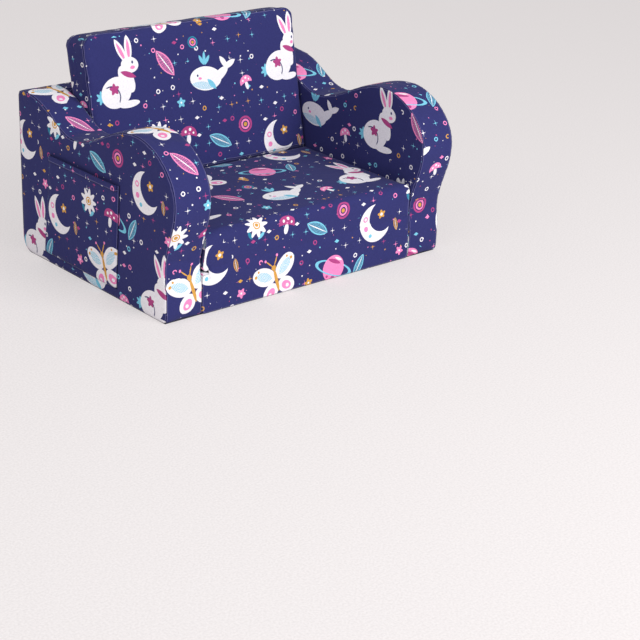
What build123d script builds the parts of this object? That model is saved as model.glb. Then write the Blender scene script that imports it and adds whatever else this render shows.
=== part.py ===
from build123d import *
from math import cos, radians, sin, tan
import os

# Flip-open sofa for a small child, in millimetres, +Z up.
# The front faces -Y and the origin is the middle of the underside of the frame.
# Left and right are as seen from the front.

# Frame
sofa_width = 760.0
frame_depth = 550.0
frame_height = 370.0
arm_thickness = 90.0
back_top_thickness = 60.0
back_foot_thickness = 105.0
rear_corner_radius = 35.0
front_foot_radius = 6.0

# Side outline of an arm, measured back from the foot of its front and up from the floor
foot_height = 60.0
waist_set_back = 5.0
waist_height = 108.0
nose_reach = 30.0
nose_height = 257.0
crest_set_back = 107.0
crest_rise = 2.0
dip_set_back = 335.0
dip_height = 307.0
shoulder_set_back = 530.0

# Folding panels
panel_thickness = 90.0
fold_depth = 66.0
backrest_length = 379.0
backrest_lean = 11.5
panel_crown = 4.0
panel_edge_radius = 13.0
seat_front_radius = 16.0
seat_corner_radius = 6.0
backrest_corner_radius = 32.0
corner_lap_share = 0.01
fold_edge_radius = 6.0
fold_strip_thickness = 1.0
fold_strip_share = 0.36
fold_bead_radius = 2.0

# Cloth and running clearances
cover_thickness = 1.5
lining_thickness = 1.5
soft_clearance = 0.3
side_clearance = 1.0
cut_overrun = 20.0

# Patch pocket on the outer side of the left arm
pocket_top_front = 156.0
pocket_top_rear = 420.0
pocket_foot_front = 172.0
pocket_foot_rear = 452.0
pocket_foot_height = 24.0
pocket_top_height = 254.0
pocket_gap = 7.0
pocket_cloth = 1.5
pocket_edge_radius = 3.0
binding_width = 12.0
binding_cloth = 1.0

# Zip across the rear cover
zip_side_margin = 100.0
zip_height = 66.0
zip_slot_width = 12.0
zip_tape_thickness = 0.8
zip_chain_width = 5.0
zip_chain_thickness = 1.2
zip_end_margin = 6.0
slider_length = 11.0
slider_width = 10.0
slider_plate = 1.5
slider_clearance = 0.3
slider_bail_width = 2.4
slider_bail_rise = 2.2
slider_corner_radius = 1.5

# Places that follow from the sizes above
front_y = -frame_depth / 2
rear_y = frame_depth / 2
half_width = sofa_width / 2
inner_half_width = half_width - arm_thickness
half_clearance = soft_clearance / 2
fold_height = panel_thickness
lean = radians(backrest_lean)
hinge_side_depth = panel_thickness - fold_depth
back_top_y = rear_y - back_top_thickness
back_foot_y = rear_y - back_foot_thickness
back_slope = back_foot_thickness - back_top_thickness
back_slope /= frame_height - lining_thickness

# The rear fold lies where the leaning backrest just meets the top edge of the back
rear_fold_z = 2 * panel_thickness - fold_depth
rear_fold_y = back_top_y - soft_clearance / cos(lean)
rear_fold_y -= (frame_height - rear_fold_z) * tan(lean) + hinge_side_depth / cos(lean)
seat_panel_length = rear_fold_y - front_y
mitre_angle = (90.0 + backrest_lean) / 2
panel_half_width = inner_half_width - side_clearance

os.makedirs("parts", exist_ok=True)
finished = []


def finish(piece, label):
    """Label a finished piece and keep it for export."""
    piece.part.label = label
    finished.append(piece.part)


def back_face_y(height):
    """Give the place of the sloping inner face of the back at a height."""
    return back_foot_y + back_slope * (height - lining_thickness)


# Side outline of an arm: local X runs back from the front foot, local Y runs up
def arm_side(inset):
    """Draw the side outline of an arm, drawn in all round by an inset."""
    top = frame_height - inset
    foot = front_y + inset
    with BuildSketch() as outline:
        with BuildLine():
            front_curve = Spline(
                (foot, foot_height),
                (foot + waist_set_back, waist_height),
                (foot - nose_reach, nose_height),
                (front_y + crest_set_back, top + crest_rise),
                (front_y + dip_set_back, dip_height - inset),
                (front_y + shoulder_set_back, top),
                tangents=[(0, 1), (0, 1), (0, 1), (1, 0), (1, 0), (1, 0)],
            )
            Polyline(
                front_curve @ 1,
                (rear_y - inset, top),
                (rear_y - inset, inset),
                (foot, inset),
                front_curve @ 0,
            )
        make_face()
        foot_corners = outline.vertices().group_by(Axis.Y)[0].sort_by(Axis.X)
        fillet(foot_corners[-1], rear_corner_radius - inset)
        front_foot = outline.vertices().group_by(Axis.Y)[0].sort_by(Axis.X)[0]
        fillet(front_foot, front_foot_radius - inset)
    return outline.sketch


arm_outline = arm_side(0)
arm_core_outline = arm_side(cover_thickness)

# The band of cloth round an arm's edge, between its two side panels
with BuildSketch() as arm_band:
    add(arm_outline)
    add(arm_core_outline, mode=Mode.SUBTRACT)

with BuildSketch() as front_and_top_band:
    add(arm_band.sketch)
    with Locations((rear_y, 0)):
        Rectangle(
            2 * (frame_depth - crest_set_back),
            2 * foot_height,
            mode=Mode.SUBTRACT,
        )
    with Locations((front_y, 0)):
        Rectangle(
            2 * (frame_depth - rear_corner_radius),
            2 * lining_thickness,
            mode=Mode.SUBTRACT,
        )
    with Locations((rear_y, 0)):
        Rectangle(
            2 * cover_thickness,
            2 * (frame_height + cut_overrun),
            mode=Mode.SUBTRACT,
        )

with BuildSketch() as rear_band:
    add(arm_band.sketch)
    with Locations((rear_y, frame_height)):
        Rectangle(
            2 * rear_corner_radius,
            2 * (frame_height + cut_overrun),
            mode=Mode.INTERSECT,
        )
    with Locations((rear_y - cover_thickness, frame_height)):
        Rectangle(
            rear_corner_radius,
            2 * (frame_height - rear_corner_radius),
            align=(Align.MAX, Align.CENTER),
            mode=Mode.SUBTRACT,
        )

# Arms: a foam core, an outer and an inner side panel, and a band over the front and top
for side_name, side in (("left", -1), ("right", 1)):
    middle_x = side * (half_width - arm_thickness / 2)
    core_start = middle_x - arm_thickness / 2 + cover_thickness
    core_width = arm_thickness - 2 * cover_thickness

    with BuildPart() as arm_foam:
        with BuildSketch(Plane.YZ.offset(core_start)):
            add(arm_core_outline)
        extrude(amount=core_width)
    finish(arm_foam, f"{side_name}_arm_foam")

    with BuildPart() as arm_front_and_top:
        with BuildSketch(Plane.YZ.offset(core_start)):
            add(front_and_top_band.sketch)
        extrude(amount=core_width)
    finish(arm_front_and_top, f"{side_name}_arm_front_and_top_cover")

    with BuildPart() as arm_outer_side:
        with BuildSketch(Plane.YZ.offset(side * half_width)):
            add(arm_outline)
        extrude(amount=-side * cover_thickness)
    finish(arm_outer_side, f"{side_name}_arm_outer_cover")

    with BuildPart() as arm_inner_side:
        with BuildSketch(Plane.YZ.offset(side * inner_half_width)):
            add(arm_outline)
            add(rear_band.sketch, mode=Mode.SUBTRACT)
            Rectangle(
                frame_depth + cut_overrun,
                2 * lining_thickness,
                mode=Mode.SUBTRACT,
            )
        extrude(amount=side * cover_thickness)
    finish(arm_inner_side, f"{side_name}_arm_inner_cover")

# Back: a wedge of foam between the arms, thicker at its foot
with BuildSketch() as back_outline:
    with BuildLine():
        Polyline(
            (back_foot_y, lining_thickness),
            (back_top_y, frame_height),
            (rear_y - cover_thickness, frame_height),
            (rear_y - cover_thickness, lining_thickness),
            close=True,
        )
    make_face()
    rear_foot = back_outline.vertices().group_by(Axis.X)[-1].sort_by(Axis.Y)[0]
    fillet(rear_foot, rear_corner_radius - cover_thickness)

with BuildPart() as back_foam:
    with BuildSketch(Plane.YZ.offset(-inner_half_width)):
        add(back_outline.sketch)
        with Locations((rear_y, frame_height)):
            Rectangle(frame_depth, 2 * cover_thickness, mode=Mode.SUBTRACT)
        with BuildLine():
            Polyline(
                (back_foot_y - cover_thickness, lining_thickness),
                (back_top_y - cover_thickness, frame_height),
                (back_top_y + cover_thickness, frame_height),
                (back_foot_y + cover_thickness, lining_thickness),
                close=True,
            )
        make_face(mode=Mode.SUBTRACT)
    extrude(amount=2 * inner_half_width)
finish(back_foam, "back_foam")

with BuildPart() as back_inner_cover:
    with BuildSketch(Plane.YZ.offset(-inner_half_width)):
        with BuildLine():
            Polyline(
                (back_foot_y, lining_thickness),
                (back_top_y, frame_height),
                (back_top_y + cover_thickness, frame_height),
                (back_foot_y + cover_thickness, lining_thickness),
                close=True,
            )
        make_face()
    extrude(amount=2 * inner_half_width)
finish(back_inner_cover, "back_inner_cover")

with BuildPart() as back_top_cover:
    with BuildSketch(Plane.YZ.offset(-inner_half_width)):
        with BuildLine():
            Polyline(
                (back_top_y + cover_thickness, frame_height),
                (rear_y - cover_thickness, frame_height),
                (rear_y - cover_thickness, frame_height - cover_thickness),
                (
                    back_top_y + cover_thickness - back_slope * cover_thickness,
                    frame_height - cover_thickness,
                ),
                close=True,
            )
        make_face()
    extrude(amount=2 * inner_half_width)
finish(back_top_cover, "back_top_cover")

# Rear cover: one panel across both arms and the back, turned under at the foot
zip_length = sofa_width - 2 * zip_side_margin
zip_centre = (0, rear_y, zip_height)
with BuildPart() as rear_cover:
    with BuildSketch(Plane.YZ.offset(-half_width + cover_thickness)):
        add(rear_band.sketch)
    extrude(amount=sofa_width - 2 * cover_thickness)
    with Locations(zip_centre):
        Box(
            zip_length,
            4 * cover_thickness,
            zip_slot_width,
            mode=Mode.SUBTRACT,
        )
finish(rear_cover, "rear_cover")

with BuildPart() as underside_lining:
    with BuildSketch():
        with Locations((0, front_y + front_foot_radius)):
            Rectangle(
                sofa_width - 2 * cover_thickness,
                frame_depth - front_foot_radius - rear_corner_radius,
                align=(Align.CENTER, Align.MIN),
            )
    extrude(amount=lining_thickness)
finish(underside_lining, "underside_lining")

# Base: the lowest layer of the seat, sewn into the frame between the arms
base_top = fold_height - half_clearance
base_front = front_y + half_clearance


def base_outline(inset):
    """Give the side outline of the base, drawn in by an inset at its front and top."""
    with BuildSketch() as outline:
        with BuildLine():
            Polyline(
                (base_front + inset, lining_thickness),
                (base_front + inset, base_top - inset),
                (back_face_y(base_top - inset), base_top - inset),
                (back_face_y(lining_thickness), lining_thickness),
                close=True,
            )
        make_face()
        front_top = outline.vertices().group_by(Axis.X)[0].sort_by(Axis.Y)[-1]
        fillet(front_top, fold_edge_radius - inset)
    return outline.sketch


base_full_outline = base_outline(0)
base_core_outline = base_outline(cover_thickness)

with BuildPart() as base_foam:
    with BuildSketch(Plane.YZ.offset(-inner_half_width)):
        add(base_core_outline)
    extrude(amount=2 * inner_half_width)
finish(base_foam, "base_foam")

with BuildPart() as base_front_cover:
    with BuildSketch(Plane.YZ.offset(-inner_half_width)):
        add(base_full_outline)
        add(base_core_outline, mode=Mode.SUBTRACT)
    extrude(amount=2 * inner_half_width)
    split(bisect_by=Plane.XY.offset(base_top - fold_edge_radius), keep=Keep.BOTTOM)
finish(base_front_cover, "base_front_cover")

with BuildPart() as base_top_cover:
    with BuildSketch(Plane.YZ.offset(-inner_half_width)):
        add(base_full_outline)
        add(base_core_outline, mode=Mode.SUBTRACT)
    extrude(amount=2 * inner_half_width)
    split(bisect_by=Plane.XY.offset(base_top - fold_edge_radius), keep=Keep.TOP)
finish(base_top_cover, "base_top_cover")

# The strip of cloth that joins the base and the seat panel along the front fold
with BuildPart() as front_fold_strip:
    with Locations((0, base_front, fold_height)):
        Box(
            2 * panel_half_width,
            fold_strip_thickness,
            2 * fold_strip_share * fold_edge_radius,
            align=(Align.CENTER, Align.MIN, Align.CENTER),
        )
finish(front_fold_strip, "front_fold_strip")


# Folding panels: both are drawn in a plane whose origin is the rear fold,
# with local X along the panel and local Y towards the side that closes on the other panel
def lengthwise_section(length, far_radii, inset):
    """Draw a panel's section along its length, crowned on both sides and mitred at the fold."""
    crease_side = fold_depth - inset
    hinge_side = -hinge_side_depth + inset
    mitre_gap = (half_clearance + inset) / sin(radians(mitre_angle))
    near = half_clearance + inset
    far = length - inset
    crease_near = (
        crease_side / tan(radians(mitre_angle)) + mitre_gap,
        crease_side - panel_crown,
    )
    crease_middle = ((crease_near[0] + far) / 2, crease_side)
    crease_far = (far, crease_side - panel_crown)
    hinge_near = (near, hinge_side + panel_crown / 2)
    hinge_middle = ((near + far) / 2, hinge_side)
    hinge_far = (far, hinge_side + panel_crown / 2)
    fold_point = (near, (near - mitre_gap) * tan(radians(mitre_angle)))
    with BuildSketch() as section:
        with BuildLine():
            ThreePointArc(crease_near, crease_middle, crease_far)
            Line(crease_far, hinge_far)
            ThreePointArc(hinge_far, hinge_middle, hinge_near)
            Polyline(hinge_near, fold_point, crease_near)
        make_face()
        for corner_index, radius in far_radii:
            far_corners = section.vertices().group_by(Axis.X)[-1].sort_by(Axis.Y)
            fillet(far_corners[corner_index], radius - inset)
    return section.sketch


def crosswise_section(inset):
    """Draw a panel's section across the sofa, crowned on both sides, with rounded rims."""
    reach = panel_half_width - inset
    crease_side = fold_depth - inset
    hinge_side = -hinge_side_depth + inset
    with BuildSketch() as section:
        with BuildLine():
            crease_arc = ThreePointArc(
                (-reach, crease_side - panel_crown),
                (0, crease_side),
                (reach, crease_side - panel_crown),
            )
            hinge_arc = ThreePointArc(
                (-reach, hinge_side + panel_crown / 2),
                (0, hinge_side),
                (reach, hinge_side + panel_crown / 2),
            )
            Line(crease_arc @ 0, hinge_arc @ 0)
            Line(crease_arc @ 1, hinge_arc @ 1)
        make_face()
        fillet(section.vertices(), panel_edge_radius - inset)
    return section.sketch


def corner_waste(length, corner_radius, inset):
    """Draw what is cut off a panel's two far corners to round them."""
    set_in = corner_radius * (1 - corner_lap_share)
    reach = set_in + cut_overrun
    with BuildSketch() as waste:
        for side, align_y in ((-1, Align.MAX), (1, Align.MIN)):
            with Locations((length - set_in, side * (panel_half_width - set_in))):
                Rectangle(reach, reach, align=(Align.MIN, align_y))
                Circle(corner_radius - inset, mode=Mode.SUBTRACT)
    return waste.sketch


def panel_solid(panel_plane, length, far_radii, corner_radius, inset):
    """Cross a panel's two sections, round its far corners and groove it along the fold."""
    end_plane = Plane(
        origin=panel_plane.origin,
        x_dir=-panel_plane.z_dir,
        z_dir=panel_plane.x_dir,
    )
    face_plane = Plane(
        origin=panel_plane.origin,
        x_dir=panel_plane.x_dir,
        z_dir=panel_plane.y_dir,
    )
    with BuildPart() as block:
        with BuildSketch(panel_plane):
            add(lengthwise_section(length, far_radii, inset))
        extrude(amount=half_width, both=True)
        with BuildSketch(end_plane):
            add(crosswise_section(inset))
        extrude(amount=length + cut_overrun, mode=Mode.INTERSECT)
        with BuildSketch(face_plane):
            add(corner_waste(length, corner_radius, inset))
        extrude(amount=panel_thickness, both=True, mode=Mode.SUBTRACT)
        with BuildSketch(panel_plane):
            Circle(fold_bead_radius + soft_clearance)
        extrude(amount=half_width, both=True, mode=Mode.SUBTRACT)
    return block.part


seat_plane = Plane(
    origin=(0, rear_fold_y, rear_fold_z),
    x_dir=(0, -1, 0),
    z_dir=(-1, 0, 0),
)
backrest_plane = Plane(
    origin=(0, rear_fold_y, rear_fold_z),
    x_dir=(0, sin(lean), cos(lean)),
    z_dir=(1, 0, 0),
)
seat_reach = seat_panel_length - half_clearance
seat_far_radii = ((-1, seat_front_radius), (0, fold_edge_radius))
backrest_far_radii = ((-1, panel_edge_radius), (0, panel_edge_radius))
seat_sizes = (seat_plane, seat_reach, seat_far_radii, seat_corner_radius)
backrest_sizes = (
    backrest_plane,
    backrest_length,
    backrest_far_radii,
    backrest_corner_radius,
)

for panel_name, crease_face, hinge_face, sizes in (
    ("seat_panel", "top_cover", "under_cover", seat_sizes),
    ("backrest", "front_cover", "rear_cover", backrest_sizes),
):
    whole = panel_solid(*sizes, 0)
    core = panel_solid(*sizes, cover_thickness)
    with BuildPart() as foam:
        add(core)
    finish(foam, f"{panel_name}_foam")

    crease_seam = Plane(
        origin=sizes[0].from_local_coords((0, fold_depth - panel_edge_radius, 0)),
        z_dir=sizes[0].y_dir,
    )
    hinge_seam = Plane(
        origin=sizes[0].from_local_coords((0, panel_edge_radius - hinge_side_depth, 0)),
        z_dir=sizes[0].y_dir,
    )
    with BuildPart() as crease_side_cover:
        add(whole)
        add(core, mode=Mode.SUBTRACT)
        split(bisect_by=crease_seam, keep=Keep.TOP)
    finish(crease_side_cover, f"{panel_name}_{crease_face}")

    with BuildPart() as border:
        add(whole)
        add(core, mode=Mode.SUBTRACT)
        split(bisect_by=crease_seam, keep=Keep.BOTTOM)
        split(bisect_by=hinge_seam, keep=Keep.TOP)
    finish(border, f"{panel_name}_border")

    with BuildPart() as hinge_side_cover:
        add(whole)
        add(core, mode=Mode.SUBTRACT)
        split(bisect_by=hinge_seam, keep=Keep.BOTTOM)
    finish(hinge_side_cover, f"{panel_name}_{hinge_face}")

# The corded seam that joins the two panels, on which the backrest turns
with BuildPart() as rear_fold_bead:
    with BuildSketch(seat_plane.offset(-panel_half_width)):
        Circle(fold_bead_radius)
    extrude(amount=2 * panel_half_width)
finish(rear_fold_bead, "rear_fold_bead")

# Patch pocket: a cloth tray open at its top, sewn to the left arm on three sides
pocket_outer_x = -half_width - pocket_gap - pocket_cloth
pocket_corners = (
    (front_y + pocket_top_front, pocket_top_height),
    (front_y + pocket_top_rear, pocket_top_height),
    (front_y + pocket_foot_rear, pocket_foot_height),
    (front_y + pocket_foot_front, pocket_foot_height),
)
pocket_room = (
    (front_y + pocket_top_front + pocket_cloth, pocket_top_height + cut_overrun),
    (front_y + pocket_top_front + pocket_cloth, pocket_top_height),
    (front_y + pocket_foot_front + pocket_cloth, pocket_foot_height + pocket_cloth),
    (front_y + pocket_foot_rear - pocket_cloth, pocket_foot_height + pocket_cloth),
    (front_y + pocket_top_rear - pocket_cloth, pocket_top_height),
    (front_y + pocket_top_rear - pocket_cloth, pocket_top_height + cut_overrun),
)
with BuildPart() as pocket_panel:
    with BuildSketch(Plane.YZ.offset(-half_width)):
        with BuildLine():
            Polyline(*pocket_corners, close=True)
        make_face()
    extrude(amount=-pocket_gap - pocket_cloth)
    outer_edges = pocket_panel.faces().sort_by(Axis.X)[0].edges().sort_by(Axis.Z)
    fillet(outer_edges[:-1], pocket_edge_radius)
    with BuildSketch(Plane.YZ.offset(-half_width)):
        with BuildLine():
            Polyline(*pocket_room, close=True)
        make_face()
    extrude(amount=-pocket_gap, mode=Mode.SUBTRACT)
finish(pocket_panel, "pocket_panel")

binding_length = pocket_top_rear - pocket_top_front - 4 * pocket_edge_radius
binding_middle_y = front_y + (pocket_top_front + pocket_top_rear) / 2
with BuildPart() as pocket_binding:
    with Locations(
        (
            pocket_outer_x + pocket_cloth / 2,
            binding_middle_y,
            pocket_top_height + binding_cloth,
        )
    ):
        Box(
            pocket_cloth + 2 * binding_cloth,
            binding_length,
            binding_width + binding_cloth,
            align=(Align.CENTER, Align.CENTER, Align.MAX),
        )
    with Locations(
        (pocket_outer_x + pocket_cloth / 2, binding_middle_y, pocket_top_height)
    ):
        Box(
            pocket_cloth,
            frame_depth,
            2 * binding_width,
            align=(Align.CENTER, Align.CENTER, Align.MAX),
            mode=Mode.SUBTRACT,
        )
finish(pocket_binding, "pocket_binding")

# Zip: tape in the slot of the rear cover, closed chain on the tape, slider over the chain
tape_y = rear_y - cover_thickness
chain_y = tape_y + zip_tape_thickness
chain_length = zip_length - 2 * zip_end_margin
with BuildPart() as zip_tape:
    with Locations((0, tape_y, zip_height)):
        Box(
            zip_length,
            zip_tape_thickness,
            zip_slot_width,
            align=(Align.CENTER, Align.MIN, Align.CENTER),
        )
finish(zip_tape, "zip_tape")

with BuildPart() as zip_chain:
    with Locations((0, chain_y, zip_height)):
        Box(
            chain_length,
            zip_chain_thickness,
            zip_chain_width,
            align=(Align.CENTER, Align.MIN, Align.CENTER),
        )
finish(zip_chain, "zip_chain")

# The slider has no pull tab, so that a child can't open the zip
slider_x = (chain_length - slider_length) / 2
slider_foot_y = chain_y + slider_clearance
slider_plate_y = chain_y + zip_chain_thickness + slider_clearance
slider_top_y = slider_plate_y + slider_plate
with BuildPart() as zip_slider:
    with Locations((slider_x, slider_foot_y, zip_height)):
        Box(
            slider_length,
            slider_top_y - slider_foot_y,
            slider_width,
            align=(Align.CENTER, Align.MIN, Align.CENTER),
        )
    fillet(zip_slider.edges().filter_by(Axis.Y), slider_corner_radius)
    with Locations((slider_x, slider_foot_y, zip_height)):
        Box(
            slider_length + cut_overrun,
            slider_plate_y - slider_foot_y,
            zip_chain_width + 2 * slider_clearance,
            align=(Align.CENTER, Align.MIN, Align.CENTER),
            mode=Mode.SUBTRACT,
        )
    with Locations((slider_x, slider_top_y, zip_height)):
        Box(
            slider_length - 2 * slider_corner_radius,
            slider_bail_rise,
            slider_bail_width,
            align=(Align.CENTER, Align.MIN, Align.CENTER),
        )
        Box(
            slider_length - 4 * slider_corner_radius,
            slider_bail_rise / 2,
            slider_width,
            align=(Align.CENTER, Align.MIN, Align.CENTER),
            mode=Mode.SUBTRACT,
        )
finish(zip_slider, "zip_slider")

for piece in finished:
    export_step(piece, f"parts/{piece.label}.step")
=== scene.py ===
"""A flip-open foam sofa for a small child in a printed cover, shown closed on a studio floor."""

import logging
import math
from collections.abc import Callable, Sequence
from dataclasses import dataclass
from enum import Enum
from functools import partial
from itertools import accumulate

import bmesh
import bpy
from mathutils import Matrix, Vector, noise
from mathutils.bvhtree import BVHTree
from mathutils.kdtree import KDTree


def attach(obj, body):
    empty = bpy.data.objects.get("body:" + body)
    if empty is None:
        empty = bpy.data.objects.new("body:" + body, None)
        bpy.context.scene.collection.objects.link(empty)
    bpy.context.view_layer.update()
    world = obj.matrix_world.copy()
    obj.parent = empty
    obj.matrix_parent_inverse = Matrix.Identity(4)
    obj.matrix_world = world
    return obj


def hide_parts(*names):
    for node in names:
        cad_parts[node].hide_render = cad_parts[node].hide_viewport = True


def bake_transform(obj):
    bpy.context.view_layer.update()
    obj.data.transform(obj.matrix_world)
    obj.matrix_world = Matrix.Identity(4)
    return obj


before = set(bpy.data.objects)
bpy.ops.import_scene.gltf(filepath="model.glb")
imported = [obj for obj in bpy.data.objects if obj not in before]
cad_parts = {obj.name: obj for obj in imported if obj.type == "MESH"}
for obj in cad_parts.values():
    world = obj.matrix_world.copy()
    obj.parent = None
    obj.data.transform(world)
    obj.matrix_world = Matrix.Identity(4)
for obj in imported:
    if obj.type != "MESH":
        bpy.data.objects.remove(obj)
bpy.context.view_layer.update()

Socket = bpy.types.NodeSocket
Material = bpy.types.Material
Object = bpy.types.Object
Mesh = bmesh.types.BMesh
Face = bmesh.types.BMFace
Pair = tuple[float, float]
Add = Callable[..., Socket]

MM = 0.001
X, Y, Z = Vector((1, 0, 0)), Vector((0, 1, 0)), Vector((0, 0, 1))
UV_NAME = "cloth"
SEAM_NAME = "seam"
HALF_WIDTH = 380 * MM
INNER_HALF_WIDTH = 290 * MM
PANEL_HALF_WIDTH = 289 * MM
FRONT = -275 * MM
REAR = 275 * MM
REAR_FACE = REAR - 1.5 * MM
HEIGHT = 370 * MM
REAR_TOP_RADIUS = 17 * MM
FOLD_HEIGHT = 90 * MM
SEAT_EDGE_RADIUS = 16 * MM
REAR_FOLD = Vector((0, 138.118 * MM, 114 * MM))
LEAN = math.radians(11.5)
# Points of a copied CAD mesh that are nearer than this are one point
MERGE = 0.02 * MM
# Least cosine between a face's normal and the side that its panel covers
SQUARE_ON = 0.7
# Where pieces were cut from the printed cloth, across and up
SEAT_CUT = (0.33, 0.19)
BACKREST_CUT = (0.31, 0.22)

log = logging.getLogger("sofa")


# Small tools for nodes, meshes and objects


def linear(colour: str) -> tuple[float, float, float, float]:
    """Turn an sRGB hex colour into the linear colour that a socket takes.

    Args:
        colour: Six hex digits after a number sign.

    Returns:
        Red, green, blue and an alpha of one.
    """
    channels = [int(colour[i:i + 2], 16) / 255 for i in (1, 3, 5)]
    return (*[c / 12.92 if c <= 0.04045 else ((c + 0.055) / 1.055) ** 2.4 for c in channels], 1.0)


def add_node(
    tree: bpy.types.NodeTree, kind: str, links: dict | Sequence = (), output: int | str = 0,
    **settings: object,
) -> Socket | None:
    """Add a node to a tree, with its settings and its links.

    Args:
        tree: The tree that takes the node.
        kind: The node's type without its ShaderNode prefix.
        links: A socket or a plain value for each input, in order or by name or number.
        output: The output that is wanted.
        settings: The node's own properties.

    Returns:
        The wanted output socket.
    """
    node = tree.nodes.new(kind if kind.startswith("Node") else f"ShaderNode{kind}")
    for name, value in settings.items():
        setattr(node, name, value)
    for key, value in links.items() if isinstance(links, dict) else enumerate(links):
        if isinstance(value, Socket):
            tree.links.new(value, node.inputs[key])
        else:
            node.inputs[key].default_value = value
    return node.outputs[output] if node.outputs else None


def start_material(name: str) -> tuple[Material, Add]:
    """Make a material with an empty tree.

    Args:
        name: The material's real name.

    Returns:
        The material, and a function that adds a node to it.
    """
    material = bpy.data.materials.new(name)
    material.use_nodes = True
    material.node_tree.nodes.clear()
    return material, partial(add_node, material.node_tree)


def make_object(name: str, bm: Mesh, material: Material) -> Object:
    """Turn a finished bmesh, which is freed, into a smooth-shaded object at the origin.

    Args:
        name: The piece's name.
        bm: The shape.
        material: The piece's finish.

    Returns:
        The new object.
    """
    mesh = bpy.data.meshes.new(name)
    for face in bm.faces:
        face.smooth = True
        face.material_index = 0
    bm.to_mesh(mesh)
    bm.free()
    mesh.materials.append(material)
    piece = bpy.data.objects.new(name, mesh)
    bpy.context.scene.collection.objects.link(piece)
    return piece


def stand_in(piece: Object, nodes: Sequence[str], body: str) -> Object:
    """Put a finished piece in the place of its CAD nodes.

    Args:
        piece: The piece.
        nodes: The CAD nodes that it takes the place of.
        body: The body that it rides on.

    Returns:
        The same piece.
    """
    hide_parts(*nodes)
    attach(piece, body)
    return piece


def clamp(value: float, low: float = 0.0, high: float = 1.0) -> float:
    """Keep a value between two limits."""
    return max(low, min(high, value))


def placed(
    centre: Sequence[float], size: Sequence[float] = (1, 1, 1), turn: float = 0.0, axis: str = "X"
) -> Matrix:
    """Give the matrix that stretches a new shape, turns it and moves it into place."""
    return Matrix.Translation(centre) @ Matrix.Rotation(turn, 4, axis) @ Matrix.Diagonal((*size, 1))


def move_extruded(bm: Mesh, made: dict, move: Vector) -> None:
    """Move the points that an extrusion has made."""
    new = [v for v in made["geom"] if isinstance(v, bmesh.types.BMVert)]
    bmesh.ops.translate(bm, verts=new, vec=move)


def cut(bm: Mesh, point: Vector, normal: Vector) -> None:
    """Cut a loop of edges into a mesh where a plane meets it."""
    everything = bm.verts[:] + bm.edges[:] + bm.faces[:]
    bmesh.ops.bisect_plane(bm, geom=everything, dist=0.01 * MM, plane_co=point, plane_no=normal)


def cut_evenly(bm: Mesh, axis: Vector, pitch: float) -> list[float]:
    """Cut a mesh into even slices along an axis.

    Args:
        bm: The mesh.
        axis: A unit vector across the slices.
        pitch: The slices' thickness, about.

    Returns:
        The distances of the cuts along the axis.
    """
    reach = [v.co.dot(axis) for v in bm.verts]
    low, high = min(reach), max(reach)
    count = max(1, round((high - low) / pitch))
    places = [low + (high - low) * i / count for i in range(1, count)]
    for place in places:
        cut(bm, axis * place, axis)
    return places


def face_out(bm: Mesh, outwards: Vector) -> None:
    """Make a sheet's faces agree and turn them outwards.

    Args:
        bm: The sheet.
        outwards: The side that most of its faces look to.
    """
    bmesh.ops.recalc_face_normals(bm, faces=bm.faces)
    if sum(f.normal.dot(outwards) for f in bm.faces) < 0:
        bmesh.ops.reverse_faces(bm, faces=bm.faces)
    bm.normal_update()


def lay_cloth(bm: Mesh, print_at: Callable[..., Pair], to_seam: Callable[..., float]) -> None:
    """Give a shape its place on the printed cloth and its distance from the seams.

    Args:
        bm: The shape.
        print_at: Gives the place on the cloth of a face's corner.
        to_seam: Gives the distance of a point from the nearest seam.
    """
    seam, uv = bm.verts.layers.float.new(SEAM_NAME), bm.loops.layers.uv.new(UV_NAME)
    bm.verts.index_update()
    for vertex in bm.verts:
        vertex[seam] = to_seam(vertex)
        for corner in vertex.link_loops:
            corner[uv].uv = print_at(corner)


def round_corner(along: float, depth: float, radius: float) -> float:
    """Unroll a rounded corner between a face and the side below it.

    Args:
        along: Distance past the corner's edge, negative on the face.
        depth: Distance below the face.
        radius: The corner's radius.

    Returns:
        Distance along the surface, equal to along on the face.
    """
    if along <= -radius:
        return along
    if depth >= radius:
        return radius * (math.pi / 2 - 1) + depth - radius
    return radius * (math.atan2(along + radius, radius - depth) - 1)


def seat_front_print(point: Vector) -> Pair:
    """Give the print's place on the seat's front and top, which one length of cloth covers.

    Args:
        point: A point on the front or the top of the seat.

    Returns:
        Across the seat, and up the front and back along the top.
    """
    top = 2 * FOLD_HEIGHT
    up = top - round_corner(FRONT - point.y, top - point.z, SEAT_EDGE_RADIUS)
    return point.x + SEAT_CUT[0], up + SEAT_CUT[1]


# Printed cloth


class Ink(Enum):
    """The printer's inks. ACCENT is the ink that a motif's place asks for."""

    GROUND = "#2e3066"
    WHITE = "#ece9ee"
    PINK = "#ec87bb"
    MAGENTA = "#ac437f"
    CYAN = "#76c1da"
    TEAL = "#2f7f9b"
    MUSTARD = "#cf9a48"
    ACCENT = ""


class Form(Enum):
    """Outlines that the print's motifs are painted with."""

    DISC = "disc"
    RING = "ring"
    LEAF = "leaf"
    HATCHED_LEAF = "hatched leaf"
    PETALS = "petals"


class Motif(Enum):
    """Motifs of the print."""

    RABBIT = "rabbit"
    WHALE = "whale"
    BUTTERFLY = "butterfly"
    MOON = "moon"
    PLANET = "planet"
    DAISY = "daisy"
    FROND = "frond"
    TOADSTOOL = "toadstool"
    TARGET = "target"
    BLOSSOM = "blossom"


@dataclass(frozen=True)
class Shape:
    """One shape of a motif, in units of the motif's half size.

    detail is a ring's width, a leaf's number of hatches or a flower's number of petals.
    bite is the centre and reach of a disc that is left out of the shape.
    """

    form: Form
    ink: Ink
    x: float
    y: float
    reach_x: float
    reach_y: float
    turn: float = 0.0
    detail: float = 0.0
    bite: tuple[float, float, float, float] | None = None


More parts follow.
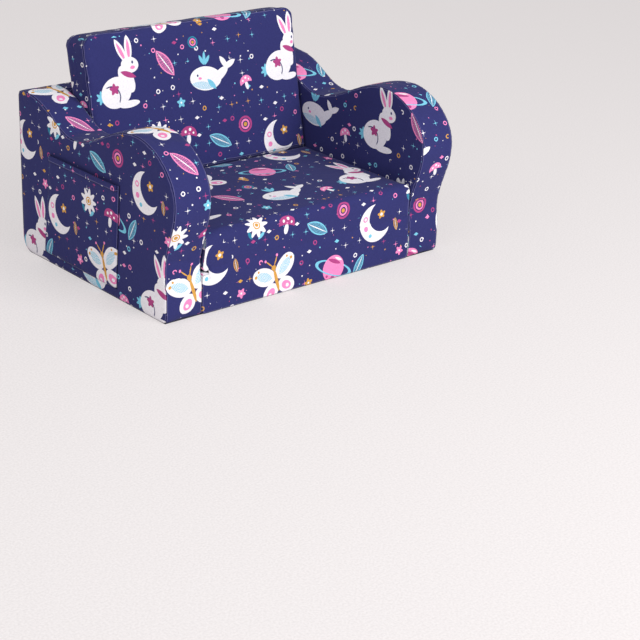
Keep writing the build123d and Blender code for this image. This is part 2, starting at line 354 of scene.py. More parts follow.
@dataclass(frozen=True)
class Placement:
    """Where one motif sits in the repeat, in millimetres and degrees."""

    motif: Motif
    x: float
    y: float
    half_size: float
    turn: float
    accent: Ink


DISC, RING, LEAF, HATCHED, PETALS = Form
GROUND, WHITE, PINK, MAGENTA, CYAN, TEAL, MUSTARD, ACCENT = Ink
RABBIT, WHALE, BUTTERFLY, MOON, PLANET, DAISY, FROND, TOADSTOOL, TARGET, BLOSSOM = Motif

MOTIF_SHAPES: dict[Motif, tuple[Shape, ...]] = {
    RABBIT: (
        Shape(DISC, GROUND, 0, 0, 1.05, 1.15),
        Shape(PETALS, CYAN, -0.7, -0.45, 0.2, 0.2, detail=7),
        Shape(DISC, WHITE, -0.18, -0.4, 0.52, 0.43, 14),
        Shape(DISC, WHITE, 0.2, -0.8, 0.34, 0.1),
        Shape(DISC, WHITE, 0.24, -0.1, 0.22, 0.42, 20),
        Shape(LEAF, WHITE, 0.2, 0.72, 0.24, 0.4, 20),
        Shape(LEAF, PINK, 0.2, 0.7, 0.11, 0.3, 20),
        Shape(LEAF, WHITE, 0.46, 0.76, 0.24, 0.4, -4),
        Shape(LEAF, PINK, 0.46, 0.73, 0.11, 0.3, -4),
        Shape(DISC, WHITE, 0.42, 0.28, 0.29, 0.23, -12),
        Shape(LEAF, ACCENT, 0.32, 0.02, 0.16, 0.27, 64),
        Shape(DISC, PINK, 0.5, 0.19, 0.08, 0.05),
        Shape(DISC, GROUND, 0.52, 0.34, 0.032, 0.045),
        Shape(RING, GROUND, -0.36, -0.5, 0.3, 0.3, detail=0.06, bite=(-0.62, -0.7, 0.5, 0.5)),
        Shape(PETALS, ACCENT, -0.22, -0.3, 0.17, 0.17, detail=5),
    ),
    WHALE: (
        Shape(DISC, GROUND, 0, 0, 1.15, 0.8),
        Shape(LEAF, WHITE, 0.84, 0.36, 0.22, 0.3, -58),
        Shape(LEAF, WHITE, 0.6, 0.42, 0.2, 0.28, 38),
        Shape(DISC, WHITE, 0.42, 0, 0.42, 0.17, 38),
        Shape(DISC, WHITE, -0.2, -0.12, 0.68, 0.42),
        Shape(HATCHED, ACCENT, -0.32, -0.36, 0.26, 0.5, 84, detail=6),
        Shape(LEAF, ACCENT, 0.06, -0.32, 0.18, 0.26, 48),
        Shape(DISC, GROUND, -0.56, -0.02, 0.035, 0.045),
        Shape(DISC, PINK, -0.46, -0.12, 0.07, 0.045),
        Shape(LEAF, CYAN, -0.38, 0.52, 0.13, 0.2, 32),
        Shape(LEAF, CYAN, -0.14, 0.52, 0.13, 0.2, -32),
        Shape(LEAF, CYAN, -0.26, 0.6, 0.12, 0.22),
    ),
    BUTTERFLY: (
        Shape(DISC, GROUND, 0, 0, 1.1, 1),
        Shape(DISC, WHITE, 0.48, 0.34, 0.52, 0.34, 34),
        Shape(DISC, WHITE, 0.36, -0.38, 0.38, 0.3, -38),
        Shape(HATCHED, ACCENT, 0.48, 0.34, 0.36, 0.38, -56, detail=5),
        Shape(DISC, PINK, 0.36, -0.4, 0.22, 0.16, -38),
        Shape(DISC, WHITE, 0.4, -0.44, 0.07, 0.07),
        Shape(DISC, MUSTARD, 0.82, 0.5, 0.06, 0.06),
        Shape(DISC, MUSTARD, 0.66, 0.64, 0.045, 0.045),
        Shape(DISC, MUSTARD, 0, -0.02, 0.07, 0.46),
        Shape(DISC, MUSTARD, 0, 0.48, 0.1, 0.1),
        Shape(LEAF, MUSTARD, 0.14, 0.7, 0.05, 0.22, -34),
        Shape(DISC, PINK, 0.27, 0.88, 0.05, 0.05),
    ),
    MOON: (
        Shape(DISC, GROUND, 0, 0, 1.1, 1.1),
        Shape(DISC, WHITE, 0, 0, 0.95, 0.95, bite=(0.48, 0.2, 0.78, 0.78)),
        Shape(DISC, ACCENT, -0.6, -0.1, 0.13, 0.13),
        Shape(DISC, CYAN, -0.44, -0.52, 0.1, 0.1),
        Shape(RING, ACCENT, -0.52, 0.4, 0.11, 0.11, detail=0.3),
        Shape(PETALS, MUSTARD, 0.46, 0.3, 0.24, 0.24, detail=5),
        Shape(DISC, WHITE, 0.46, 0.3, 0.08, 0.08),
    ),
    PLANET: (
        Shape(DISC, GROUND, 0, 0, 1.05, 0.7),
        Shape(RING, CYAN, 0, 0, 0.92, 0.27, detail=0.09),
        Shape(DISC, ACCENT, 0, 0, 0.54, 0.54),
        Shape(LEAF, MAGENTA, -0.06, 0.28, 0.16, 0.36, 88),
        Shape(LEAF, WHITE, 0.1, 0.42, 0.09, 0.2, 86),
        Shape(DISC, MAGENTA, 0.12, -0.36, 0.1, 0.08),
        Shape(DISC, MAGENTA, -0.2, -0.38, 0.06, 0.05),
        Shape(RING, CYAN, 0, 0, 0.92, 0.27, detail=0.09, bite=(0, 1.06, 1.6, 1)),
    ),
    DAISY: (
        Shape(LEAF, TEAL, -0.5, -0.72, 0.26, 0.36, 40),
        Shape(LEAF, CYAN, 0.5, -0.72, 0.26, 0.36, -40),
        Shape(PETALS, WHITE, 0, 0, 0.92, 0.92, detail=9),
        Shape(DISC, ACCENT, 0, 0, 0.3, 0.3),
        Shape(RING, WHITE, 0, 0, 0.18, 0.18, detail=0.2),
    ),
    FROND: (
        Shape(LEAF, ACCENT, 0, 0, 0.8, 1),
        Shape(HATCHED, GROUND, 0, 0, 0.62, 0.9, detail=6),
        Shape(LEAF, WHITE, 0, 0, 0.07, 0.95),
    ),
    TOADSTOOL: (
        Shape(DISC, WHITE, 0, -0.42, 0.24, 0.5),
        Shape(DISC, ACCENT, 0, 0.02, 0.9, 0.8, bite=(0, -0.92, 1.5, 0.9)),
        Shape(DISC, WHITE, -0.4, 0.28, 0.13, 0.13),
        Shape(DISC, WHITE, 0.1, 0.5, 0.15, 0.15),
        Shape(DISC, WHITE, 0.5, 0.2, 0.11, 0.11),
        Shape(DISC, PINK, 0.02, 0.12, 0.1, 0.08),
    ),
    TARGET: (
        Shape(DISC, ACCENT, 0, 0, 0.95, 0.95),
        Shape(DISC, GROUND, 0, 0, 0.72, 0.72),
        Shape(DISC, PINK, 0, 0, 0.6, 0.6),
        Shape(DISC, GROUND, 0, 0, 0.38, 0.38),
        Shape(DISC, MUSTARD, 0, 0, 0.24, 0.24),
    ),
    BLOSSOM: (
        Shape(PETALS, ACCENT, 0, 0, 0.95, 0.95, detail=5),
        Shape(DISC, WHITE, 0, 0, 0.2, 0.2),
    ),
}

REPEAT = (450.0, 400.0)
LAYOUT = (
    Placement(RABBIT, 98, 100, 76, 4, MAGENTA),
    Placement(WHALE, 338, 74, 64, -6, CYAN),
    Placement(BUTTERFLY, 236, 232, 60, 16, CYAN),
    Placement(PLANET, 396, 222, 56, -22, PINK),
    Placement(MOON, 66, 302, 46, 12, PINK),
    Placement(DAISY, 182, 364, 31, -10, MUSTARD),
    Placement(FROND, 220, 116, 36, 34, PINK),
    Placement(FROND, 20, 212, 28, -28, CYAN),
    Placement(FROND, 348, 324, 34, 62, CYAN),
    Placement(TOADSTOOL, 262, 350, 24, -8, MAGENTA),
    Placement(TOADSTOOL, 436, 44, 19, 14, PINK),
    Placement(TARGET, 422, 350, 20, 0, MAGENTA),
    Placement(TARGET, 300, 152, 14, 0, TEAL),
    Placement(BLOSSOM, 326, 204, 12, 12, MUSTARD),
    Placement(BLOSSOM, 142, 222, 12, 40, PINK),
    Placement(BLOSSOM, 250, 24, 12, 0, CYAN),
    Placement(FROND, 128, 288, 15, 8, MUSTARD),
)


@dataclass(frozen=True)
class PrintedCloth:
    """Brushed polyester cover cloth, plain woven and screen printed.

    The brushing gives a dull face with a faint sheen at grazing angles. The print sits in the
    threads, so all inks share one roughness. Threads 0.2 mm apart are too fine to show, so the
    weave is drawn as slubs 1.6 mm apart. Fields without a unit in their value are in
    millimetres, or in shares of a cell of the small print.
    """

    slub_pitch: float = 1.6
    slub_spread: float = 0.25
    roughness: float = 0.88
    sheen: float = 0.05
    fine_dot_pitch: float = 24.0
    small_motif_pitch: float = 38.0
    small_ring: Pair = (0.11, 0.032)
    spark_reach: float = 0.19
    spark_area: float = 1.3
    diamond_reach: float = 4.2
    diamond_slant: float = 0.62
    leaf_arc: float = 1.25
    petal_depth: float = 0.2
    seam_groove: float = 1.6 * MM
    # Place and half width of the painted highlight beside each seam
    seam_highlight_band: Pair = (2.5 * MM, 0.8 * MM)
    pucker_pitch: float = 34.0
    pucker_reach: float = 45 * MM

    def own_axes(
        self, add: Add, place: Socket, centre: Pair, reach: Pair, turn: float = 0.0,
        depth: float = 0.0,
    ) -> Socket:
        """Measure a point along the axes of a shape or motif, in units of its reach.

        Args:
            add: Adds a node to the tree.
            place: The point, with a third coordinate of one that takes the shift.
            centre: Where the axes start.
            reach: The half sizes along the two axes.
            turn: The axes' turn in degrees.
            depth: The third coordinate of the answer.

        Returns:
            The measured point.
        """
        cosine, sine = math.cos(math.radians(turn)), math.sin(math.radians(turn))
        axes = Vector((cosine, sine)) / reach[0], Vector((-sine, cosine)) / reach[1]
        measured = [add("VectorMath", (place, (*axis, -axis.dot(centre))), "Value",
                        operation="DOT_PRODUCT") for axis in axes]
        return add("CombineXYZ", (*measured, depth))

    def paint_shape(
        self, add: Add, shape: Shape, place: Socket, under: Socket, accent: Socket
    ) -> Socket:
        """Paint one shape over what is under it.

        Args:
            add: Adds a node to the motif's group.
            shape: The shape.
            place: The point on the motif, in half sizes.
            under: The colour so far.
            accent: The colour that stands for the accent ink.

        Returns:
            The colour after the shape.
        """
        centre, reaches = (shape.x, shape.y), (shape.reach_x, shape.reach_y)
        local = self.own_axes(add, place, centre, reaches, shape.turn)
        if shape.form in (LEAF, HATCHED):
            # Two arcs that meet in points at the ends of the leaf
            push = (math.sqrt(self.leaf_arc ** 2 - 1), 0, 0)
            folded = add("VectorMath", (local,), operation="ABSOLUTE")
            pushed = add("VectorMath", (folded, push), operation="ADD")
            reach = add("VectorMath", (pushed,), "Value", operation="LENGTH")
            mask = add("Math", (reach, self.leaf_arc), operation="LESS_THAN")
            if shape.form is HATCHED:
                slope = (-shape.detail, shape.detail, 0)
                rise = add("VectorMath", (folded, slope), "Value", operation="DOT_PRODUCT")
                hatch = add("Math", (rise, 0.5), operation="PINGPONG")
                gap = add("Math", (hatch, 0.24), operation="GREATER_THAN")
                mask = add("Math", (mask, gap), operation="MULTIPLY")
        else:
            reach = add("VectorMath", (local,), "Value", operation="LENGTH")
            if shape.form is RING:
                mask = add("Math", (reach, 1, shape.detail), operation="COMPARE")
            else:
                edge = 1.0
                if shape.form is PETALS:
                    x, y = (socket.links[0].from_socket for socket in local.node.inputs[:2])
                    angle = add("Math", (x, y), operation="ARCTAN2")
                    wave = add("Math", (angle, shape.detail), operation="MULTIPLY")
                    lobe = add("Math", (wave,), operation="COSINE")
                    depths = (self.petal_depth, 1 - self.petal_depth)
                    edge = add("Math", (lobe, *depths), operation="MULTIPLY_ADD")
                mask = add("Math", (reach, edge), operation="LESS_THAN")
        if shape.bite:
            other = self.own_axes(add, place, shape.bite[:2], shape.bite[2:])
            other_reach = add("VectorMath", (other,), "Value", operation="LENGTH")
            outside = add("Math", (other_reach, 1), operation="GREATER_THAN")
            mask = add("Math", (mask, outside), operation="MULTIPLY")
        ink = accent if shape.ink is ACCENT else linear(shape.ink.value)
        return add("Mix", {0: mask, 6: under, 7: ink}, 2, data_type="RGBA")

    def motif_group(self, motif: Motif) -> bpy.types.NodeTree:
        """Make the node group that paints a motif.

        Args:
            motif: The motif.

        Returns:
            A group that takes the cloth's colour, the place and the accent ink.
        """
        tree = bpy.data.node_groups.new(f"printed_{motif.value}", "ShaderNodeTree")
        add = partial(add_node, tree)
        for name, kind in (("Under", "Color"), ("Place", "Vector"), ("Accent", "Color")):
            tree.interface.new_socket(name, in_out="INPUT", socket_type=f"NodeSocket{kind}")
        tree.interface.new_socket("Painted", in_out="OUTPUT", socket_type="NodeSocketColor")
        under, place, accent = add("NodeGroupInput").node.outputs[:3]
        if motif is BUTTERFLY:
            mirrored = add("VectorMath", (place, (-1, 1, 1)), operation="MULTIPLY")
            place = add("VectorMath", (place, mirrored), operation="MAXIMUM")
        for shape in MOTIF_SHAPES[motif]:
            under = self.paint_shape(add, shape, place, under, accent)
        add("NodeGroupOutput", (under,))
        return tree

    def scatter_cells(
        self, add: Add, flat: Socket, pitch: float, spread: float
    ) -> tuple[Socket, Socket, Socket]:
        """Scatter small motifs over the cloth, one in each cell.

        Args:
            add: Adds a node to the cloth's tree.
            flat: The point on the cloth, in metres.
            pitch: The cells' width, in millimetres.
            spread: How unevenly the motifs lie, from zero to one.

        Returns:
            The distance from the motif, a number that differs from motif to motif, and its ink.
        """
        reach = add("TexVoronoi", {
            "Vector": flat, "Scale": 1 / (pitch * MM), "Randomness": spread,
        }, "Distance", voronoi_dimensions="2D")
        chance = add("SeparateColor", (reach.node.outputs["Color"],), "Red")
        ink = add("ValToRGB", (chance.node.outputs["Green"],), "Color")
        bands = ((0.0, WHITE), (0.42, PINK), (0.58, CYAN), (0.74, MUSTARD), (0.88, MAGENTA))
        elements = ink.node.color_ramp.elements
        ink.node.color_ramp.interpolation = "CONSTANT"
        while len(elements) < len(bands):
            elements.new(0.5)
        for element, (start, band) in zip(elements, bands):
            element.position = start
            element.color = linear(band.value)
        return reach, chance, ink

    def scatter(self, add: Add, flat: Socket) -> Socket:
        """Print the ground with fine dots and small rings, crosses and diamonds.

        Args:
            add: Adds a node to the cloth's tree.
            flat: The point on the cloth, in metres.

        Returns:
            The colour of the ground with its small print.
        """
        reach, chance, ink = self.scatter_cells(add, flat, self.fine_dot_pitch, 0.85)
        size = add("Math", (chance, 0.1, -0.02), operation="MULTIPLY_ADD")
        mask = add("Math", (reach, size), operation="LESS_THAN")
        ground = linear(GROUND.value)
        colour = add("Mix", {0: mask, 6: ground, 7: ink}, 2, data_type="RGBA")

        reach, chance, ink = self.scatter_cells(add, flat, self.small_motif_pitch, 0.7)
        offset = add("VectorMath", (flat, reach.node.outputs["Position"]), operation="SUBTRACT")
        folded = add("VectorMath", (offset,), operation="ABSOLUTE")
        x, y = (add("VectorMath", (folded, axis), "Value", operation="DOT_PRODUCT")
                for axis in ((1 / MM, 0, 0), (0, 1 / MM, 0)))
        ring = add("Math", (reach, *self.small_ring), operation="COMPARE")
        thin = add("Math", (x, y), operation="MULTIPLY")
        spark = add("Math", (thin, self.spark_area), operation="LESS_THAN")
        near = add("Math", (reach, self.spark_reach), operation="LESS_THAN")
        spark = add("Math", (spark, near), operation="MULTIPLY")
        diamond = add("Math", (x, self.diamond_slant, y), operation="MULTIPLY_ADD")
        diamond = add("Math", (diamond, self.diamond_reach), operation="LESS_THAN")
        pick = add("Math", (chance, 0.3), operation="LESS_THAN")
        mask = add("Mix", {0: pick, 2: spark, 3: ring})
        pick = add("Math", (chance, 0.72), operation="GREATER_THAN")
        mask = add("Mix", {0: pick, 2: mask, 3: diamond})
        return add("Mix", {0: mask, 6: colour, 7: ink}, 2, data_type="RGBA")

    def build(self) -> Material:
        """Make the cloth, which reads the piece's own print map and distance from a seam.

        Returns:
            The material.
        """
        material, add = start_material("printed_brushed_polyester")
        flat = add("UVMap", uv_map=UV_NAME)
        colour = self.scatter(add, flat)
        place = add("VectorMath", {0: flat, "Scale": 1 / MM}, operation="SCALE")
        groups = {motif: self.motif_group(motif) for motif in Motif}
        half = Vector((REPEAT[0] / 2, REPEAT[1] / 2, 1))
        for spot in LAYOUT:
            shifted = add("VectorMath", (place, (spot.x, spot.y, 0)), operation="SUBTRACT")
            wrapped = add("VectorMath", (shifted, half, -half), operation="WRAP")
            reach = (spot.half_size, spot.half_size)
            local = self.own_axes(add, wrapped, (0, 0), reach, spot.turn, depth=1.0)
            colour = add("Group", node_tree=groups[spot.motif], links={
                "Under": colour, "Place": local, "Accent": linear(spot.accent.value),
            })
        self.finish_surface(add, place, colour)
        return material

    def finish_surface(self, add: Add, place: Socket, colour: Socket) -> None:
        """Give the printed colour its threads, creases and seams, with painted shade in each seam's
        groove and a painted highlight along the ridge beside it.

        Args:
            add: Adds a node to the cloth's tree.
            place: The point on the cloth, in millimetres.
            colour: The printed colour.
        """
        weft, warp = (
            add("TexNoise", {
                "Vector": add("Mapping", {"Vector": place, "Scale": stretch}),
                "Scale": 1 / self.slub_pitch, "Detail": 1.0,
            }, "Fac", noise_dimensions="2D")
            for stretch in ((self.slub_spread, 1, 1), (1, self.slub_spread, 1))
        )
        threads = add("Math", (weft, warp), operation="ADD")
        tone = add("MapRange", (threads, 0.7, 1.3, 0.93, 1.07))
        toned = add("VectorMath", {0: colour, "Scale": tone}, operation="SCALE")
        # The seam's stitches draw the cloth into a groove. Painted shade darkens the groove, and a
        # painted highlight lightens the ridge beside it
        seam = add("Attribute", (), "Fac", attribute_name=SEAM_NAME)
        groove = add("MapRange", (seam, 0, self.seam_groove), interpolation_type="SMOOTHSTEP")
        # Painted shade: the colour is darkened to 0.55 at the seam and fades back over seam_groove
        shade = add("MapRange", (groove, 0, 1, 0.55, 1))
        shaded = add("VectorMath", {0: toned, "Scale": shade}, operation="SCALE")
        # Painted highlight: a pale band beside the seam, added to the colour
        edge = add("Math", (seam, *self.seam_highlight_band), operation="COMPARE")
        painted_ridge_highlight = add("VectorMath", {0: (0.07, 0.065, 0.1), "Scale": edge}, operation="SCALE")
        sewn = add("VectorMath", (shaded, painted_ridge_highlight), operation="ADD")

        near = add("MapRange", (seam, 0, self.pucker_reach, 1, 0.28),
                   interpolation_type="SMOOTHSTEP")
        puckers = add("TexNoise", {
            "Vector": place, "Scale": 1 / self.pucker_pitch, "Detail": 2.0, "Roughness": 0.45,
            "Distortion": 0.6,
        }, "Fac", noise_dimensions="2D")
        puckered = add("Math", (puckers, near), operation="MULTIPLY")
        height = add("Math", (threads, 0.035, puckered), operation="MULTIPLY_ADD")
        height = add("Math", (groove, 0.22, height), operation="MULTIPLY_ADD")
        bump = add("Bump", {"Height": height, "Strength": 0.75, "Distance": 4 * MM})
        surface = add("BsdfPrincipled", {
            # The base colour carries the painted seam shade and the painted ridge highlight
            "Base Color": sewn, "Roughness": self.roughness, "Normal": bump,
            "Sheen Weight": self.sheen, "Sheen Roughness": 0.45, "Specular IOR Level": 0.15,
        })
        add("OutputMaterial", (surface,))


@dataclass(frozen=True)
class PlainFinish:
    """A finish of one colour with a grain, whose pitch and depth are in millimetres."""

    name: str
    colour: str
    grain: float
    grain_depth: float
    roughness: float
    metallic: float = 0.0
    sheen: float = 0.0
    stretch: tuple[float, float, float] = (1.0, 1.0, 1.0)

    def build(self) -> Material:
        """Make the finish's material, with its grain on Object coordinates.

        Returns:
            The material.
        """
        material, add = start_material(self.name)
        place = add("TexCoord", (), "Object")
        placed_grain = add("Mapping", {"Vector": place, "Scale": self.stretch})
        grain = add("TexNoise", {
            "Vector": placed_grain, "Scale": 1 / (self.grain * MM), "Detail": 3.0,
        }, "Fac")
        tone = add("MapRange", (grain, 0.3, 0.7, 0.85, 1.12))
        plain = linear(self.colour)[:3]
        colour = add("VectorMath", {0: plain, "Scale": tone}, operation="SCALE")
        depth = self.grain_depth * MM
        bump = add("Bump", {"Height": grain, "Strength": 0.6, "Distance": depth})
        surface = add("BsdfPrincipled", {
            "Base Color": colour, "Roughness": self.roughness, "Metallic": self.metallic,
            "Normal": bump, "Sheen Weight": self.sheen,
        })
        add("OutputMaterial", (surface,))
        return material


# Spunbonded polypropylene: a dull black-grey felt with a faint sheen
LINING = PlainFinish("spunbonded_polypropylene", "#2b2c3c", 0.9, 0.3, 0.9, sheen=0.15)
# Woven polyester tape: fine ribs along its length
ZIP_TAPE = PlainFinish(
    "woven_polyester_tape", "#2c2e5e", 0.8, 0.2, 0.8, sheen=0.2, stretch=(0.2, 1.0, 1.0)
)
# Drawn nylon monofilament: smooth, with a soft gloss
ZIP_COIL = PlainFinish("drawn_nylon_monofilament", "#34366a", 0.6, 0.05, 0.38)
# Die-cast zinc, lacquered: a faintly pebbled metal
ZIP_METAL = PlainFinish("die_cast_zinc", "#9b9ca3", 0.5, 0.05, 0.34, metallic=1.0)


# Foam blocks in their sewn covers


@dataclass
class PaddedBlock:
    """A block of foam in a sewn cover, which swells between its seams.

    The cover starts a little inside the foam's finished outline and is blown up by a cloth
    simulation with its seams held. A point may move out as far as it has room, and in by draw_in.
    """

    name: str
    body: str
    nodes: tuple[str, ...]
    cell: float = 11 * MM
    smallest_edge: float = 2.2 * MM
    cover_lift: float = 1.0 * MM
    seam_sharpness: float = 0.4
    fill: float = 0.75
    draw_in: float = 2.5 * MM
    farthest_slide: float = 1.5 * MM

    def axes(self) -> tuple[Vector, ...]:
        """Give the directions along which the cover is cut into cells."""
        return X, Y, Z

    def cut_seams(self, bm: Mesh) -> None:
        """Cut the seams that no edge of the foam marks."""

    def panel_of(self, face: Face) -> int:
        """Give the number of the cloth panel that a face belongs to."""
        raise NotImplementedError

    def print_at(self, panel: int, point: Vector) -> Pair:
        """Give the place on the printed cloth of a point on a panel."""
        raise NotImplementedError

    def room(self, point: Vector, normal: Vector) -> float:
        """Give how far the cover may stand out at a point."""
        raise NotImplementedError

    def is_sewn(self, first: int, second: int) -> bool:
        """Tell whether two panels that meet are joined by a seam."""
        return first != second

    def trim(self, point: Vector) -> None:
        """Keep a point of the cover clear of what it is sewn to."""

    def copy_foam(self, bend: float) -> Mesh:
        """Copy the foam's shape and merge its loose triangles.

        Args:
            bend: The most that the triangles of one flat face may bend, in degrees.

        Returns:
            A closed mesh of large faces.
        """
        bm = bmesh.new()
        bm.from_mesh(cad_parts[self.nodes[0]].data)
        bmesh.ops.remove_doubles(bm, verts=bm.verts, dist=MERGE)
        bmesh.ops.dissolve_limit(bm, angle_limit=math.radians(bend), verts=bm.verts[:],
                                 edges=bm.edges[:])
        return bm

    def foam_shape(self) -> Mesh:
        """Cut the foam's shape into cells, with the seams as edges.

        Returns:
            The closed mesh of cells.
        """
        bm = self.copy_foam(1.2)
        self.cut_seams(bm)
        for axis in self.axes():
            cut_evenly(bm, axis, self.cell)
        bmesh.ops.remove_doubles(bm, verts=bm.verts, dist=self.smallest_edge)
        return bm

    def build(self, material: Material) -> Object:
        """Make the cover's starting shape, its print map and its seams.

        Args:
            material: The cover's cloth.

        Returns:
            The cover, with its seams in a vertex group.
        """
        bm = self.foam_shape()
        bmesh.ops.recalc_face_normals(bm, faces=bm.faces)
        bm.normal_update()
        panels = {face: self.panel_of(face) for face in bm.faces}
        uv = bm.loops.layers.uv.new(UV_NAME)
        for face, panel in panels.items():
            for loop in face.loops:
                loop[uv].uv = self.print_at(panel, loop.vert.co)
        crease = bm.edges.layers.float.new("crease_edge")
        held = bm.verts.layers.int.new("held")
        for edge in bm.edges:
            sides = [panels[face] for face in edge.link_faces]
            if len(sides) == 2 and self.is_sewn(*sides):
                edge[crease] = self.seam_sharpness
                for vertex in edge.verts:
                    vertex[held] = 1
        for vertex in bm.verts:
            vertex.co += vertex.normal * self.cover_lift * min(vertex.calc_shell_factor(), 2.0)
        for vertex in bm.verts:
            self.trim(vertex.co)
            if self.body == "frame":
                round_rear_top(vertex.co)
        piece = make_object(self.name, bm, material)
        seams = piece.vertex_groups.new(name="seams")
        marks = piece.data.attributes["held"].data
        seams.add([i for i, mark in enumerate(marks) if mark.value], 1.0, "REPLACE")
        return piece

    def swell(self, piece: Object, blown: list[Vector]) -> None:
        """Move the cover out towards its blown-up shape, within the room it has.

        Args:
            piece: The cover.
            blown: Where the simulation put each of its points.
        """
        normals = [v.normal.copy() for v in piece.data.vertices]
        nothing = 0.01 * MM
        for vertex, target, normal in zip(piece.data.vertices, blown, normals):
            if (self.body == "frame" and vertex.co.z > HEIGHT - REAR_TOP_RADIUS
                    and vertex.co.y > REAR - REAR_TOP_RADIUS):
                continue
            move = target - vertex.co
            out = move.dot(normal)
            slide = move - normal * out
            room = self.room(vertex.co, normal)
            if out <= 0:
                out = self.draw_in * (math.exp(out / self.draw_in) - 1)
            else:
                out = room * (1 - math.exp(-out / room)) if room > nothing else 0.0
            slide *= min(1.0, self.farthest_slide / max(slide.length, nothing / 10))
            vertex.co += normal * out + slide
            self.trim(vertex.co)

    def dress(self, piece: Object) -> None:
        """Args:
            piece: The cover.
        """
        vertices, marks = piece.data.vertices, piece.data.attributes["held"].data
        sewn = [v.co for v, mark in zip(vertices, marks) if mark.value]
        tree = KDTree(len(sewn))
        for i, point in enumerate(sewn):
            tree.insert(point, i)
        tree.balance()
        seam = piece.data.attributes.new(SEAM_NAME, "FLOAT", "POINT")
        seam.data.foreach_set("value", [tree.find(v.co)[2] for v in vertices])
        rounding = piece.modifiers.new("Rounding", "SUBSURF")
        rounding.levels = rounding.render_levels = 1
        stand_in(piece, self.nodes, self.body)


def round_rear_top(point: Vector) -> None:
    """Ease a point of the frame's square rear top edge on to a round one, as the cloth pulls it.

    Args:
        point: The point, which is moved.
    """
    middle_y, middle_z = REAR - REAR_TOP_RADIUS, HEIGHT - REAR_TOP_RADIUS
    back, up = point.y - middle_y, point.z - middle_z
    if back > 0 and up > 0:
        scale = max(back, up) / math.hypot(back, up)
        point.y, point.z = middle_y + back * scale, middle_z + up * scale


@dataclass
class Arm(PaddedBlock):
    """A scroll-fronted arm: two side panels and a band over its front and top."""

    side: int = -1
    outer_room: float = 3.0 * MM
    band_room: float = 3.5 * MM
    inner_room: float = 0.8 * MM
    foot: float = 1.5 * MM
    outer_cut: Pair = (0.31, 0.04)
    inner_cut: Pair = (0.84, 0.21)
    band_cut: Pair = (0.55, 0.17)
    gentle_bend: float = math.radians(14)

    def foam_shape(self) -> Mesh:
        """Cut the side outline into even steps before the arm is cut across.

        Returns:
            The closed mesh of cells.
        """
        bm = self.copy_foam(0.3)
        across, back, up = self.axes()
        rows, floors = cut_evenly(bm, back, self.cell), cut_evenly(bm, up, self.cell)
        spare = []
        for edge in bm.edges:
            start, end = (v.co for v in edge.verts)
            middle = (start + end) / 2
            to_row = min(abs(middle.y - y) for y in rows)
            to_floor = min(abs(middle.z - z) for z in floors)
            runs_across = abs(start.x - end.x) > 0.9 * edge.calc_length()
            if (runs_across and min(to_row, to_floor) >= 0.05 * MM
                    and edge.calc_face_angle(0) < self.gentle_bend):
                spare.append(edge)
        bmesh.ops.dissolve_edges(bm, edges=spare, use_verts=True)
        cut_evenly(bm, across, self.cell)
        bmesh.ops.remove_doubles(bm, verts=bm.verts, dist=self.smallest_edge)
        self.measure_band(bm)
        return bm

    def measure_band(self, bm: Mesh) -> None:
        """Measure the distance round the arm's outline from the foot of its front.

        Args:
            bm: The arm's shape.
        """
        side_x = min(v.co.x for v in bm.verts)
        links: dict = {}
        for edge in bm.edges:
            if (all(abs(v.co.x - side_x) < 0.1 * MM for v in edge.verts)
                    and any(abs(f.normal.x) < 0.5 for f in edge.link_faces)):
                for vertex in edge.verts:
                    links.setdefault(vertex, []).append(edge.other_vert(vertex))
        start = min(links, key=lambda v: v.co.y * 0.1 + v.co.z)
        path, step = [start], max(links[start], key=lambda v: v.co.z)
        while step is not start and len(path) <= len(links):
            path.append(step)
            step = next(v for v in links[step] if v is not path[-2])
        steps = ((here.co - last.co).length for here, last in zip(path, path[:1] + path))
        self.rim_reach = list(accumulate(steps))
        self.rim = KDTree(len(path))
        for i, vertex in enumerate(path):
            self.rim.insert((0, *vertex.co.yz), i)
        self.rim.balance()

    def panel_of(self, face: Face) -> int:
        """Outer side 0, inner side 1, band 2."""
        lean = face.normal.x * self.side
        return 0 if lean > SQUARE_ON else 1 if lean < -SQUARE_ON else 2

    def print_at(self, panel: int, point: Vector) -> Pair:
        """Lay the print upright on the sides and along the band.

        Args:
            panel: The panel's number.
            point: The point.

        Returns:
            The place on the cloth.
        """
        if panel == 2:
            nearest = self.rim.find((0, point.y, point.z))[1]
            return point.x + self.band_cut[0], self.rim_reach[nearest] + self.band_cut[1]
        facing, start = ((-self.side, self.inner_cut) if panel else (self.side, self.outer_cut))
        return facing * point.y + start[0], point.z + start[1]

    def room(self, point: Vector, normal: Vector) -> float:
        """Leave the seat's side, the rear and the foot flat.

        Args:
            point: A point of the cover.
            normal: The cover's direction there.

        Returns:
            How far the cover may stand out.
        """
        lean = normal.x * self.side
        if lean < -0.5:
            return self.inner_room
        to_rear, to_foot = (REAR_FACE - point.y) / (30 * MM), (point.z - self.foot) / (20 * MM)
        return clamp(min(to_rear, to_foot)) * (self.outer_room if lean > 0.5 else self.band_room)

    def trim(self, point: Vector) -> None:
        """Keep the arm in front of the rear cover, on the lining and off the seat.

        Args:
            point: The point, which is moved.
        """
        point.y = min(point.y, REAR_FACE)
        point.z = max(point.z, self.foot * 0.4)
        inner = INNER_HALF_WIDTH + 0.2 * MM
        point.x = min(point.x, -inner) if self.side < 0 else max(point.x, inner)


